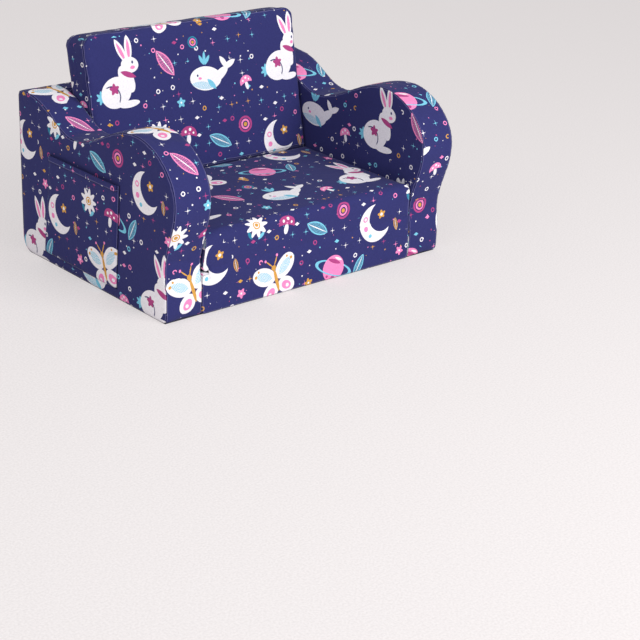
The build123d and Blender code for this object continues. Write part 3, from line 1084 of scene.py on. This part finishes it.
@dataclass
class MiddleBlock(PaddedBlock):
    """A block of the frame that is sewn in between the arms."""

    front_room: float = 0.4 * MM
    top_room: float = 0.3 * MM
    foot: float = 1.2 * MM

    def panel_of(self, face: Face) -> int:
        """Front 0, top 1, the rest 2."""
        return 0 if face.normal.y < -SQUARE_ON else 1 if face.normal.z > SQUARE_ON else 2

    def room(self, point: Vector, normal: Vector) -> float:
        """Leave some room at the front and the top, and none where the block is sewn in.

        Args:
            point: A point of the cover. Not used.
            normal: The cover's direction there.

        Returns:
            How far the cover may stand out.
        """
        if normal.y < -SQUARE_ON:
            return self.front_room
        return self.top_room if normal.z > SQUARE_ON else 0.0

    def trim(self, point: Vector) -> None:
        """Keep the block between the arms, in front of the rear cover and above the lining.

        Args:
            point: The point, which is moved.
        """
        point.x = clamp(point.x, -INNER_HALF_WIDTH, INNER_HALF_WIDTH)
        point.y = min(point.y, REAR_FACE)
        point.z = max(point.z, self.foot)


@dataclass
class SeatBase(MiddleBlock):
    """The lowest layer of the seat, with the same cloth as the cushion that folds down over it."""

    def print_at(self, panel: int, point: Vector) -> Pair:
        """Lay the print upright on the front and back along the top."""
        x, up = seat_front_print(Vector((point.x, FRONT, point.z)))
        return x, up + (point.y - FRONT if panel == 1 else 0.0)


@dataclass
class BackWedge(MiddleBlock):
    """The wedge-shaped back, whose slope carries the backrest."""

    front_room: float = 0.2 * MM
    top_room: float = 3.0 * MM
    back_cut: Pair = (0.5, 0.05)

    def print_at(self, panel: int, point: Vector) -> Pair:
        """Lay the print up the slope and on over the top."""
        up = point.z if panel == 0 else HEIGHT + point.y - REAR + 60 * MM
        return point.x + self.back_cut[0], up + self.back_cut[1]


@dataclass
class FoldingPanel(PaddedBlock):
    """A folding cushion: a cover on each side and a border round its edge."""

    along: Vector = Vector((0, -1, 0))
    face_side: Vector = Vector((0, 0, 1))
    length: float = 0.413
    face_depth: float = 66 * MM
    thickness: float = 90 * MM
    edge_radius: float = 13 * MM
    fold_edge: Pair = (54.4 * MM, 61.5 * MM)
    slit: float = 0.0
    slit_height: float = 60 * MM
    face_room: float = 0.6 * MM
    under_room: float = 0.2 * MM
    end_room: float = 0.5 * MM
    side_room: float = 0.6 * MM
    side_cut: Pair = (0.5, 0.7)
    under_cut: Pair = (0.2, 0.9)
    is_seat: bool = True

    def axes(self) -> tuple[Vector, ...]:
        """Cut across, along and through the cushion."""
        return X, self.along, self.face_side

    def cover_edges(self) -> Pair:
        """Give the depths at which the face's and the under side's covers meet the border."""
        return (self.face_depth - self.edge_radius,
                self.edge_radius + self.face_depth - self.thickness)

    def cut_seams(self, bm: Mesh) -> None:
        """Cut in the seams between the covers and the border."""
        for depth in self.cover_edges():
            cut(bm, REAR_FOLD + self.face_side * depth, self.face_side)

    def local(self, point: Vector) -> tuple[float, float, float]:
        """Give a point's place across, along and towards the face."""
        offset = point - REAR_FOLD
        return point.x, offset.dot(self.along), offset.dot(self.face_side)

    def panel_of(self, face: Face) -> int:
        """Tell the cushion's panels apart.

        Args:
            face: A face of the cover.

        Returns:
            0 on the face cover, 1 on the sides, 2 under it, 3 at the far end, 4 in the fold.
        """
        depth = self.local(face.calc_center_median())[2]
        face_edge, under_edge = self.cover_edges()
        lean = face.normal.dot(self.along)
        if lean < -0.4:
            return 4
        if depth > face_edge:
            return 0
        if depth < under_edge:
            return 2
        return 3 if lean > SQUARE_ON else 1

    def is_sewn(self, first: int, second: int) -> bool:
        """Let the seat's covers run on over its front, and the backrest's border round it.

        Args:
            first: One panel's number.
            second: The other's.

        Returns:
            Whether a seam joins the two panels.
        """
        pair = {first, second}
        if self.is_seat:
            return first != second and pair != {0, 3} and pair != {2, 3}
        return first != second and pair != {1, 3}

    def print_at(self, panel: int, point: Vector) -> Pair:
        """Lay the print up the face and round its edges."""
        return (self.seat_print if self.is_seat else self.backrest_print)(panel, point)

    def fold_slide(self, point: Vector) -> float:
        """Give the distance of a point from the fold's upper edge, down the fold."""
        return math.hypot(*self.fold_edge) - math.hypot(*self.local(point)[1:])

    def seat_print(self, panel: int, point: Vector) -> Pair:
        """Lay the print up the seat's front, over its face and down into the fold.

        Args:
            panel: The panel's number.
            point: The point.

        Returns:
            The place on the cloth.
        """
        x, along, _ = self.local(point)
        if panel in (0, 3):
            return seat_front_print(point)
        if panel == 4:
            edge = REAR_FOLD + self.along * self.fold_edge[0] + self.face_side * self.face_depth
            return x + SEAT_CUT[0], seat_front_print(edge)[1] + self.fold_slide(point)
        if panel == 2:
            across, up = seat_front_print(Vector((x, FRONT, point.z)))
            return across, up - (self.length - along)
        return math.copysign(1, x) * point.y + self.side_cut[0], point.z + self.side_cut[1]

    def backrest_print(self, panel: int, point: Vector) -> Pair:
        """Lay the print up the backrest's face and out over its border.

        Args:
            panel: The panel's number.
            point: The point.

        Returns:
            The place on the cloth.
        """
        x, along, depth = self.local(point)
        below = self.face_depth - depth
        if panel == 4:
            return x + BACKREST_CUT[0], BACKREST_CUT[1] + self.fold_edge[0] - self.fold_slide(point)
        if panel == 2:
            return x + self.under_cut[0], self.under_cut[1] - along
        out = PANEL_HALF_WIDTH + round_corner(abs(x) - PANEL_HALF_WIDTH, below, self.edge_radius)
        up = self.length + round_corner(along - self.length, below, self.edge_radius)
        across = math.copysign(out, x) if panel != 3 else x
        return across + BACKREST_CUT[0], (up if panel != 1 else along) + BACKREST_CUT[1]

    def room(self, point: Vector, normal: Vector) -> float:
        """Let the cushion swell where nothing lies against it.

        Args:
            point: A point of the cover. Not used.
            normal: The cover's direction there.

        Returns:
            How far the cover may stand out.
        """
        lean = normal.dot(self.along)
        if abs(lean) > 0.5:
            return self.end_room if lean > 0 else 0.0
        if abs(normal.x) > 0.5:
            return self.side_room
        return self.face_room if normal.dot(self.face_side) > 0.5 else self.under_room

    def trim(self, point: Vector) -> None:
        """Keep the cushion clear of the arms, with a slit at the left of the seat's front.

        Args:
            point: The point, which is moved.
        """
        _, along, depth = self.local(point)
        near_front = max(0.0, 1 - (self.length - along) / self.slit_height)
        above_foot, below_face = depth + 19 * MM, self.face_depth - 5 * MM - depth
        slit = self.slit * near_front * clamp(min(above_foot / (45 * MM), below_face / (10 * MM)))
        edge = PANEL_HALF_WIDTH + 0.5 * MM
        point.x = clamp(point.x, slit - edge, edge)


@dataclass(frozen=True)
class Inflation:
    """The cloth simulation that blows up the covers, with their seams held and no gravity."""

    last_frame: int = 20
    pressure: float = 4.0
    mass: float = 0.3
    tension: float = 12.0
    shear: float = 5.0
    bending: float = 0.4
    slack: float = 0.012

    def prepare(self, piece: Object) -> None:
        """Give a cover its cloth.

        Args:
            piece: The cover, with its seams in a group.
        """
        cloth = piece.modifiers.new("Cloth", "CLOTH")
        settings = cloth.settings
        settings.quality = 5
        settings.mass = self.mass
        settings.tension_stiffness = settings.compression_stiffness = self.tension
        settings.shear_stiffness = self.shear
        settings.bending_stiffness = self.bending
        settings.use_pressure = True
        settings.uniform_pressure_force = self.pressure
        settings.vertex_group_mass = "seams"
        settings.shrink_min = -self.slack
        settings.effector_weights.gravity = 0
        cloth.collision_settings.use_collision = False
        cloth.point_cache.frame_start, cloth.point_cache.frame_end = 1, self.last_frame

    def run(self, covers: list[tuple[PaddedBlock, Object]]) -> None:
        """Blow up all covers at once and keep their shapes.

        Args:
            covers: Each block with its cover.
        """
        for _, piece in covers:
            self.prepare(piece)
        scene = bpy.context.scene
        for number in range(1, self.last_frame + 1):
            scene.frame_set(number)
        depsgraph = bpy.context.evaluated_depsgraph_get()
        for block, piece in covers:
            blown = [v.co.copy() for v in piece.evaluated_get(depsgraph).data.vertices]
            piece.modifiers.remove(piece.modifiers["Cloth"])
            block.swell(piece, blown)
        scene.frame_set(1)


# Sheets of cloth, cord and zip


@dataclass
class RearCover:
    """One panel across the arms and the back, turned under at the foot, with the zip's slot."""

    half_width: float = 378.5 * MM
    top: float = HEIGHT - 1 * MM
    corner_radius: float = 35 * MM
    thickness: float = 1.2 * MM
    zip_height: float = 66 * MM
    slot_half_width: float = 280 * MM
    slot_half_height: float = 6 * MM
    pitch: float = 14 * MM
    rear_cut: Pair = (0.9, 0.6)

    def past_slot(self, point: Vector) -> Pair:
        """Give how far a point lies past the slot's ends and past its edges."""
        return (abs(point.x) - self.slot_half_width,
                abs(point.z - self.zip_height) - self.slot_half_height)

    def to_seam(self, vertex: bmesh.types.BMVert) -> float:
        """Measure from the panel's sides, its top and the slot.

        Args:
            vertex: A point of the panel.

        Returns:
            The distance of the nearest.
        """
        if vertex.is_boundary:
            return 0.0
        to_slot = max(*self.past_slot(vertex.co), 0)
        return max(0.0, min(self.half_width - abs(vertex.co.x), to_slot, self.top - vertex.co.z))

    def print_at(self, corner: bmesh.types.BMLoop) -> Pair:
        """Lay the print upright, and on under the foot.

        Args:
            corner: A face's corner.

        Returns:
            The place on the cloth.
        """
        point, up = corner.vert.co, corner.vert.co.z
        if up <= self.corner_radius:
            up = -round_corner(-point.z, REAR - point.y, self.corner_radius)
        return self.rear_cut[0] - point.x, up + self.rear_cut[1]

    def build(self, material: Material) -> Object:
        """Make the panel.

        Args:
            material: The cover's cloth.

        Returns:
            The panel.
        """
        bm = bmesh.new()
        top = bm.verts.new((-self.half_width, REAR, self.top))
        low = bm.verts.new((-self.half_width, REAR, self.corner_radius))
        bm.edges.new((top, low))
        centre = (0, REAR - self.corner_radius, self.corner_radius)
        bmesh.ops.spin(bm, geom=[low], cent=centre, axis=X, angle=-math.pi / 2, steps=8,
                       use_merge=False)
        made = bmesh.ops.extrude_edge_only(bm, edges=bm.edges[:])
        move_extruded(bm, made, 2 * self.half_width * X)
        for side in (-1, 1):
            cut(bm, side * self.slot_half_width * X, X)
            cut(bm, (self.zip_height + side * self.slot_half_height) * Z, Z)
        slot = [f for f in bm.faces if max(self.past_slot(f.calc_center_median())) < 0]
        bmesh.ops.delete(bm, geom=slot, context="FACES")
        for axis in (X, Z):
            cut_evenly(bm, axis, self.pitch)
        face_out(bm, Y)
        lay_cloth(bm, self.print_at, self.to_seam)
        for vertex in bm.verts:
            round_rear_top(vertex.co)
        bmesh.ops.solidify(bm, geom=bm.faces[:], thickness=self.thickness)
        piece = make_object("rear_cover_panel", bm, material)
        turned_under = math.pi / 2 * self.corner_radius
        area = 2 * self.half_width * (HEIGHT - self.corner_radius + turned_under)
        area -= 4 * self.slot_half_width * self.slot_half_height
        return stand_in(piece, ["rear_cover"], "frame")


@dataclass
class UndersideLining:
    """The thin felt under the frame."""

    half_width: float = 378 * MM
    front: float = -268.5 * MM
    rear: float = 239.5 * MM
    height: float = 1.2 * MM
    thickness: float = 1.0 * MM

    def build(self, material: Material) -> Object:
        """Make the lining.

        Args:
            material: The felt.

        Returns:
            The lining.
        """
        bm = bmesh.new()
        depth = self.rear - self.front
        matrix = placed((0, (self.rear + self.front) / 2, self.height),
                        (self.half_width, depth / 2, 1))
        bmesh.ops.create_grid(bm, x_segments=48, y_segments=32, size=1.0, matrix=matrix)
        bmesh.ops.solidify(bm, geom=bm.faces[:], thickness=self.thickness)
        piece = make_object("underside_felt", bm, material)
        return stand_in(piece, ["underside_lining"], "frame")


@dataclass
class PatchPocket:
    """The patch pocket on the left arm, sewn on three sides and bound along its top."""

    top_front: float = FRONT + 156 * MM
    top_rear: float = FRONT + 420 * MM
    foot_front: float = FRONT + 172 * MM
    foot_rear: float = FRONT + 452 * MM
    foot: float = 24 * MM
    top: float = 254 * MM
    sewn_rise: float = 1.6 * MM
    stand_off: float = 6.2 * MM
    shoulder: float = 20 * MM
    wave: float = 0.5 * MM
    wave_size: float = 55 * MM
    thickness: float = 1.1 * MM
    binding_width: float = 12 * MM
    binding_half_thickness: float = 1.5 * MM
    fold_share: float = 0.09
    pocket_cut: Pair = (0.62, 0.17)
    binding_cut: Pair = (0.62, 0.402)

    def surface_point(self, across: float, up: float) -> Vector:
        """Give a point of the pocket's cloth.

        Args:
            across: From 0 at the front edge to 1 at the rear edge.
            up: From 0 at the foot to 1 at the top.

        Returns:
            The point, on the arm's own surface at the sewn edges.
        """
        front = self.foot_front + (self.top_front - self.foot_front) * up
        rear = self.foot_rear + (self.top_rear - self.foot_rear) * up
        width, height = rear - front, self.top - self.foot
        y, z = front + width * across, self.foot + height * up
        to_edge = min(across * width, (1 - across) * width, up * height)
        share = min(1.0, to_edge / self.shoulder)
        gape = 0.62 + 0.38 * up
        rise = self.sewn_rise + self.stand_off * math.sqrt(share * (2 - share)) * gape
        rise += self.wave * share * noise.noise(Vector((3.0, y, z)) / self.wave_size)
        hit = self.arm.ray_cast(Vector((-0.6, y, z)), X)
        base = hit[0].x if hit[0] else -HALF_WIDTH
        return Vector((base - rise, y, z))

    def build(self, material: Material, arm: Object) -> Object:
        """Make the pocket's cloth panel.

        Args:
            material: The pocket's cloth.
            arm: The arm that carries it.

        Returns:
            The panel.
        """
        self.arm = BVHTree.FromObject(arm, bpy.context.evaluated_depsgraph_get())
        bm = bmesh.new()
        bmesh.ops.create_grid(bm, x_segments=44, y_segments=38, size=0.5)
        width, height = self.foot_rear - self.foot_front, self.top - self.foot
        to_seam = []
        for vertex in bm.verts:
            across, up = 0.5 - vertex.co.x, vertex.co.y + 0.5
            to_seam.append(min(across * width, (1 - across) * width, up * height) + 0.3 * MM)
            vertex.co = self.surface_point(across, up)
        right, foot = self.pocket_cut
        lay_cloth(bm, lambda corner: (right - corner.vert.co.y, corner.vert.co.z + foot),
                  lambda vertex: to_seam[vertex.index])
        face_out(bm, -X)
        bmesh.ops.solidify(bm, geom=bm.faces[:], thickness=self.thickness)
        piece = make_object("patch_pocket", bm, material)
        return stand_in(piece, ["pocket_panel"], "frame")

    def build_binding(self, material: Material) -> Object:
        """Make the strip of cloth folded over the pocket's top edge.

        Args:
            material: The binding's cloth.

        Returns:
            The binding.
        """
        bm = bmesh.new()
        bmesh.ops.create_grid(bm, x_segments=60, y_segments=12, size=0.5)
        cloth_place, to_seam = [], []
        half, fold = self.binding_half_thickness, self.fold_share
        for vertex in bm.verts:
            across, turn = 0.5 - vertex.co.x, vertex.co.y
            down = max(0.0, abs(turn) - fold) / (0.5 - fold) * self.binding_width
            up = 1 - down / (self.top - self.foot)
            angle = clamp(turn / fold, -1.0) * math.pi / 2
            crest = half * math.cos(angle) if abs(turn) < fold else 0.0
            point = self.surface_point(0.012 + 0.976 * across, up)
            point += Vector((half * math.sin(angle) - 0.5 * MM, 0, crest))
            cloth_place.append((self.binding_cut[0] - point.y,
                                self.binding_cut[1] + turn * 2 * self.binding_width))
            to_seam.append(abs(self.binding_width - down) + 0.2 * MM)
            vertex.co = point
        lay_cloth(bm, lambda corner: cloth_place[corner.vert.index],
                  lambda vertex: to_seam[vertex.index])
        face_out(bm, Z)
        bmesh.ops.solidify(bm, geom=bm.faces[:], thickness=0.8 * MM)
        piece = make_object("pocket_edge_binding", bm, material)
        return stand_in(piece, ["pocket_binding"], "frame")


@dataclass
class FrontFoldCloth:
    """The length of cloth that runs from the base's front on to the seat panel's front."""

    left: float = -272 * MM
    right: float = 288.6 * MM
    reach: float = 20 * MM
    bridge: float = 9 * MM
    proud: float = 0.2 * MM
    edge_slope: float = 8 * MM
    thickness: float = 0.5 * MM
    blend_reach: float = 3 * MM

    def front_at(self, x: float, z: float) -> float:
        """Give the depth of the cloth's face, which bridges the fold between base and seat.

        Args:
            x: The place across the seat.
            z: The height.

        Returns:
            The depth of the base's or the seat's own front, or of the bridge where it is further.
        """
        hits = [tree.ray_cast(Vector((x, -0.5, z)), Y)[0] for tree in self.carriers]
        fronts = [hit.y for hit in hits if hit]
        offset = z - FOLD_HEIGHT
        if abs(offset) >= self.bridge:
            return min(fronts, default=FRONT)
        low, high = (self.front_at(x, FOLD_HEIGHT + side * self.bridge) for side in (-1, 1))
        return min([*fronts, low + (high - low) * (0.5 + offset / (2 * self.bridge))])

    def build(self, material: Material, carriers: Sequence[Object]) -> Object:
        """Make the cloth, which bends between the base and the seat panel.

        Args:
            material: The seat's cloth.
            carriers: The base and the seat cushion.

        Returns:
            The cloth.
        """
        depsgraph = bpy.context.evaluated_depsgraph_get()
        self.carriers = [BVHTree.FromObject(carrier, depsgraph) for carrier in carriers]
        bm = bmesh.new()
        matrix = placed(((self.left + self.right) / 2, FRONT - self.proud, FOLD_HEIGHT),
                        ((self.right - self.left) / 2, self.reach, 1), math.pi / 2)
        bmesh.ops.create_grid(bm, x_segments=48, y_segments=40, size=1.0, matrix=matrix)
        face_out(bm, -Y)
        fronts = []
        for vertex in bm.verts:
            x, _, z = vertex.co
            to_edge = min(self.reach - abs(z - FOLD_HEIGHT), self.right + 10 * MM - x)
            rise = self.proud * (2 * min(1.0, to_edge / self.edge_slope) - 1)
            fronts.append(self.front_at(x, z) - rise)
        for vertex, front in zip(bm.verts, fronts):
            vertex.co.y = front
        # No seam is near enough to show
        lay_cloth(bm, lambda corner: seat_front_print(corner.vert.co), lambda vertex: 50 * MM)
        bmesh.ops.solidify(bm, geom=bm.faces[:], thickness=self.thickness)
        piece = make_object("front_fold_cloth", bm, material)
        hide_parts("front_fold_strip")
        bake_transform(piece)
        return piece


@dataclass
class RearFoldCord:
    """The cloth-covered cord in the seam between the seat and the backrest."""

    radius: float = 2.0 * MM
    half_width: float = 288.5 * MM
    pitch: float = 12 * MM
    to_seam: float = 2.5 * MM

    def print_at(self, corner: bmesh.types.BMLoop) -> Pair:
        """Wrap the print round the cord, unbroken across each face.

        Args:
            corner: A face's corner.

        Returns:
            The place on the cloth.
        """
        turn, own = (math.atan2(point.z - REAR_FOLD.z, point.y - REAR_FOLD.y)
                     for point in (corner.face.calc_center_median(), corner.vert.co))
        own += math.tau * round((turn - own) / math.tau)
        return corner.vert.co.x + BACKREST_CUT[0], BACKREST_CUT[1] + own * self.radius

    def build(self, material: Material) -> Object:
        """Make the cord.

        Args:
            material: The cord's cloth.

        Returns:
            The cord.
        """
        bm = bmesh.new()
        matrix = placed((-self.half_width, *REAR_FOLD.yz), turn=math.pi / 2, axis="Y")
        bmesh.ops.create_circle(bm, segments=14, radius=self.radius, cap_ends=True, matrix=matrix)
        made = bmesh.ops.extrude_face_region(bm, geom=bm.faces[:])
        move_extruded(bm, made, 2 * self.half_width * X)
        cut_evenly(bm, X, self.pitch)
        bmesh.ops.recalc_face_normals(bm, faces=bm.faces)
        lay_cloth(bm, self.print_at, lambda vertex: self.to_seam)
        piece = make_object("rear_fold_cord", bm, material)
        return stand_in(piece, ["rear_fold_bead"], "seat_panel")


@dataclass
class Zip:
    """A closed nylon coil zip on its tape, with a slider that has no pull tab."""

    height: float = 66 * MM
    tape_y: float = 273.5 * MM
    tape_half_length: float = 280 * MM
    tape_half_height: float = 7.5 * MM
    rib_depth: float = 0.12 * MM
    # Height over which the ribs' wave turns by one radian
    rib_radian: float = 0.8 * MM
    chain_half_length: float = 274 * MM
    tooth_pitch: float = 1.9 * MM
    tooth_lean: float = 0.16
    tooth_size: tuple[float, float, float] = (0.42 * MM, 0.62 * MM, 1.5 * MM)
    slider_x: float = 268.5 * MM
    slider_bevel: float = 0.28 * MM

    def build_tape(self, material: Material) -> Object:
        """Make the tape.

        Args:
            material: The tape's weave.

        Returns:
            The tape.
        """
        bm = bmesh.new()
        matrix = placed((0, self.tape_y + 0.7 * MM, self.height),
                        (self.tape_half_length, self.tape_half_height, 1), -math.pi / 2)
        bmesh.ops.create_grid(bm, x_segments=90, y_segments=12, size=1.0, matrix=matrix)
        for vertex in bm.verts:
            turn = (vertex.co.z - self.height) / self.rib_radian
            vertex.co.y += self.rib_depth * math.cos(turn)
        face_out(bm, Y)
        bmesh.ops.solidify(bm, geom=bm.faces[:], thickness=0.5 * MM)
        piece = make_object("zip_tape_weave", bm, material)
        return stand_in(piece, ["zip_tape"], "frame")

    def build_coil(self, material: Material) -> Object:
        """Make the two interlocked rows of coil.

        Args:
            material: The coil's nylon.

        Returns:
            The coil.
        """
        bm = bmesh.new()
        for i in range(int(2 * self.chain_half_length / self.tooth_pitch)):
            x = -self.chain_half_length + (i + 0.5) * self.tooth_pitch
            for side in (-1, 1):
                centre = (x + side * self.tooth_pitch / 4, self.tape_y + 1.35 * MM,
                          self.height + side * MM)
                matrix = placed(centre, self.tooth_size, side * self.tooth_lean, "Y")
                bmesh.ops.create_uvsphere(bm, u_segments=6, v_segments=5, radius=1.0,
                                          matrix=matrix)
        piece = make_object("zip_coil", bm, material)
        return stand_in(piece, ["zip_chain"], "frame")

    def build_slider(self, material: Material) -> Object:
        """Make the slider: two plates, their walls and the bar for a tab that isn't there.

        Args:
            material: The slider's metal.

        Returns:
            The slider.
        """
        bm = bmesh.new()
        centre = Vector((self.slider_x, self.tape_y + 3.3 * MM, self.height))
        # Each block's offset and size in millimetres
        blocks = (
            ((0, 0, 0), (11, 1.3, 8.4)),
            ((0, -1.3, 4.0), (10, 1.5, 0.9)),
            ((0, -1.3, -4.0), (10, 1.5, 0.9)),
            ((3.6, 1.5, 0), (1.7, 2.0, 2.4)),
            ((-3.6, 1.5, 0), (1.7, 2.0, 2.4)),
            ((0, 2.3, 0), (8.9, 0.8, 2.4)),
        )
        for offset, size in blocks:
            matrix = placed(centre + Vector(offset) * MM, [length * MM for length in size])
            made = bmesh.ops.create_cube(bm, size=1.0, matrix=matrix)
            edges = list({e for v in made["verts"] for e in v.link_edges})
            bmesh.ops.bevel(bm, geom=edges, offset=self.slider_bevel, offset_type="OFFSET",
                            segments=2, profile=0.5, affect="EDGES", material=-1)
        piece = make_object("zip_slider_body", bm, material)
        return stand_in(piece, ["zip_slider"], "zip_slider")


# Studio


@dataclass(frozen=True)
class Studio:
    """A pale seamless floor, plain soft light and the photograph's camera."""

    lens: float = 92.81
    camera_place: tuple[float, float, float] = (-2.1718, -2.7856, 1.3061)
    floor_colour: str = "#efeaea"
    floor_half_size: float = 14.0
    floor_glow: float = 0.96
    glow_share: float = 0.62
    key_power: float = 116.0
    fill_power: float = 36.0
    sky: float = 0.52
    seen_sky: float = 0.93

    def build_camera(self) -> None:
        """Place the camera."""
        data = bpy.data.cameras.new("camera")
        data.sensor_width, data.lens, data.clip_end = 36.0, self.lens, 100.0
        camera = bpy.data.objects.new("camera", data)
        right = Vector((0.76031, -0.64867, 0.03412))
        up = Vector((0.22626, 0.31371, 0.92217))
        back = Vector((-0.60888, -0.69341, 0.38528))
        turn = Matrix((right, up, back)).transposed().to_4x4()
        camera.matrix_world = Matrix.Translation(self.camera_place) @ turn
        bpy.context.scene.collection.objects.link(camera)
        bpy.context.scene.camera = camera

    def build_floor(self) -> None:
        """Lay the floor, whose pale colour also shows to the camera where the light falls off."""
        material, add = start_material("matt_paper_backdrop")
        place = add("TexCoord", (), "Object")
        speckle = add("TexNoise", {"Vector": place, "Scale": 260.0, "Detail": 2.0}, "Fac")
        tone = add("MapRange", (speckle, 0.3, 0.7, 0.94, 1.05))
        pale = linear(self.floor_colour)[:3]
        colour = add("VectorMath", {0: pale, "Scale": tone}, operation="SCALE")
        paper = add("BsdfDiffuse", (colour,))
        glow = add("Emission", (colour, self.floor_glow))
        rays = add("LightPath", (), "Is Camera Ray")
        seen = add("Math", (rays, rays.node.outputs["Is Glossy Ray"]), operation="MAXIMUM")
        share = add("Math", (seen, self.glow_share), operation="MULTIPLY")
        shown = add("MixShader", (share, paper, glow))
        add("OutputMaterial", (shown,))
        bm = bmesh.new()
        bmesh.ops.create_grid(bm, x_segments=8, y_segments=8, size=self.floor_half_size,
                              matrix=placed((0, 0, -0.2 * MM)))
        floor = make_object("studio_floor", bm, material)

    def build_light(self) -> None:
        """Hang a large soft lamp in front and to the right, and a weaker one to the left."""
        for name, power, size, place in (
            ("key", self.key_power, 2.6, Vector((0.6, -3.4, 2.1))),
            ("fill", self.fill_power, 3.0, Vector((-3.2, -1.4, 2.6))),
        ):
            lamp = bpy.data.lights.new(name, "AREA")
            lamp.energy, lamp.size, lamp.shape = power, size, "DISK"
            holder = bpy.data.objects.new(name, lamp)
            turn = (place - Vector((0, 0, 0.2))).to_track_quat("Z", "Y").to_matrix().to_4x4()
            holder.matrix_world = Matrix.Translation(place) @ turn
            bpy.context.scene.collection.objects.link(holder)
        world = bpy.data.worlds.new("studio")
        world.use_nodes = True
        world.node_tree.nodes.clear()
        add = partial(add_node, world.node_tree)
        rays = add("LightPath", (), "Is Camera Ray")
        strength = add("MapRange", (rays, 0, 1, self.sky, self.seen_sky))
        light = add("Background", ((1.0, 0.985, 0.985, 1.0), strength))
        add("OutputWorld", (light,))
        bpy.context.scene.world = world


def make_blocks() -> list[PaddedBlock]:
    """List the padded blocks: the arms, the base, the back and the two folding panels.

    Returns:
        The blocks.
    """
    arms = [
        Arm(f"{name}_arm", "frame", (
            f"{name}_arm_foam", f"{name}_arm_front_and_top_cover", f"{name}_arm_outer_cover",
            f"{name}_arm_inner_cover",
        ), side=side, band_cut=band_cut)
        for name, side, band_cut in (("left", -1, (0.55, 0.17)), ("right", 1, (0.55, 0.23)))
    ]
    return [
        *arms,
        SeatBase("seat_base", "frame", ("base_foam", "base_front_cover", "base_top_cover")),
        BackWedge("back_wedge", "frame", ("back_foam", "back_inner_cover", "back_top_cover")),
        FoldingPanel("seat_cushion", "seat_panel", (
            "seat_panel_foam", "seat_panel_top_cover", "seat_panel_border",
            "seat_panel_under_cover",
        ), length=REAR_FOLD.y - FRONT, slit=8 * MM),
        FoldingPanel("backrest_cushion", "backrest", (
            "backrest_foam", "backrest_front_cover", "backrest_border", "backrest_rear_cover",
        ), along=Vector((0, math.sin(LEAN), math.cos(LEAN))),
            face_side=Vector((0, -math.cos(LEAN), math.sin(LEAN))), length=379 * MM,
            end_room=2.5 * MM, is_seat=False),
    ]


def main() -> None:
    """Build the sofa and the studio, piece by piece."""
    logging.basicConfig(level=logging.INFO, format="%(message)s")
    bpy.context.scene.view_settings.view_transform = "Standard"
    studio = Studio()
    studio.build_camera()
    studio.build_floor()
    studio.build_light()
    cloth = PrintedCloth().build()
    log.info("studio and cloth")

    covers = [(block, block.build(cloth)) for block in make_blocks()]
    Inflation().run(covers)
    for block, piece in covers:
        block.dress(piece)
        log.info("%s: %d faces before rounding", piece.name, len(piece.data.polygons))

    left_arm, _, seat_base, _, seat_cushion, _ = (piece for _, piece in covers)
    pocket, zip_fastener = PatchPocket(), Zip()
    pieces = [
        pocket.build(cloth, left_arm), pocket.build_binding(cloth), RearCover().build(cloth),
        UndersideLining().build(LINING.build()),
        FrontFoldCloth().build(cloth, (seat_base, seat_cushion)), RearFoldCord().build(cloth),
        zip_fastener.build_tape(ZIP_TAPE.build()), zip_fastener.build_coil(ZIP_COIL.build()),
        zip_fastener.build_slider(ZIP_METAL.build()),
    ]
    for piece in pieces:
        log.info("%s: %d faces", piece.name, len(piece.data.polygons))


if __name__ == "__main__":
    main()
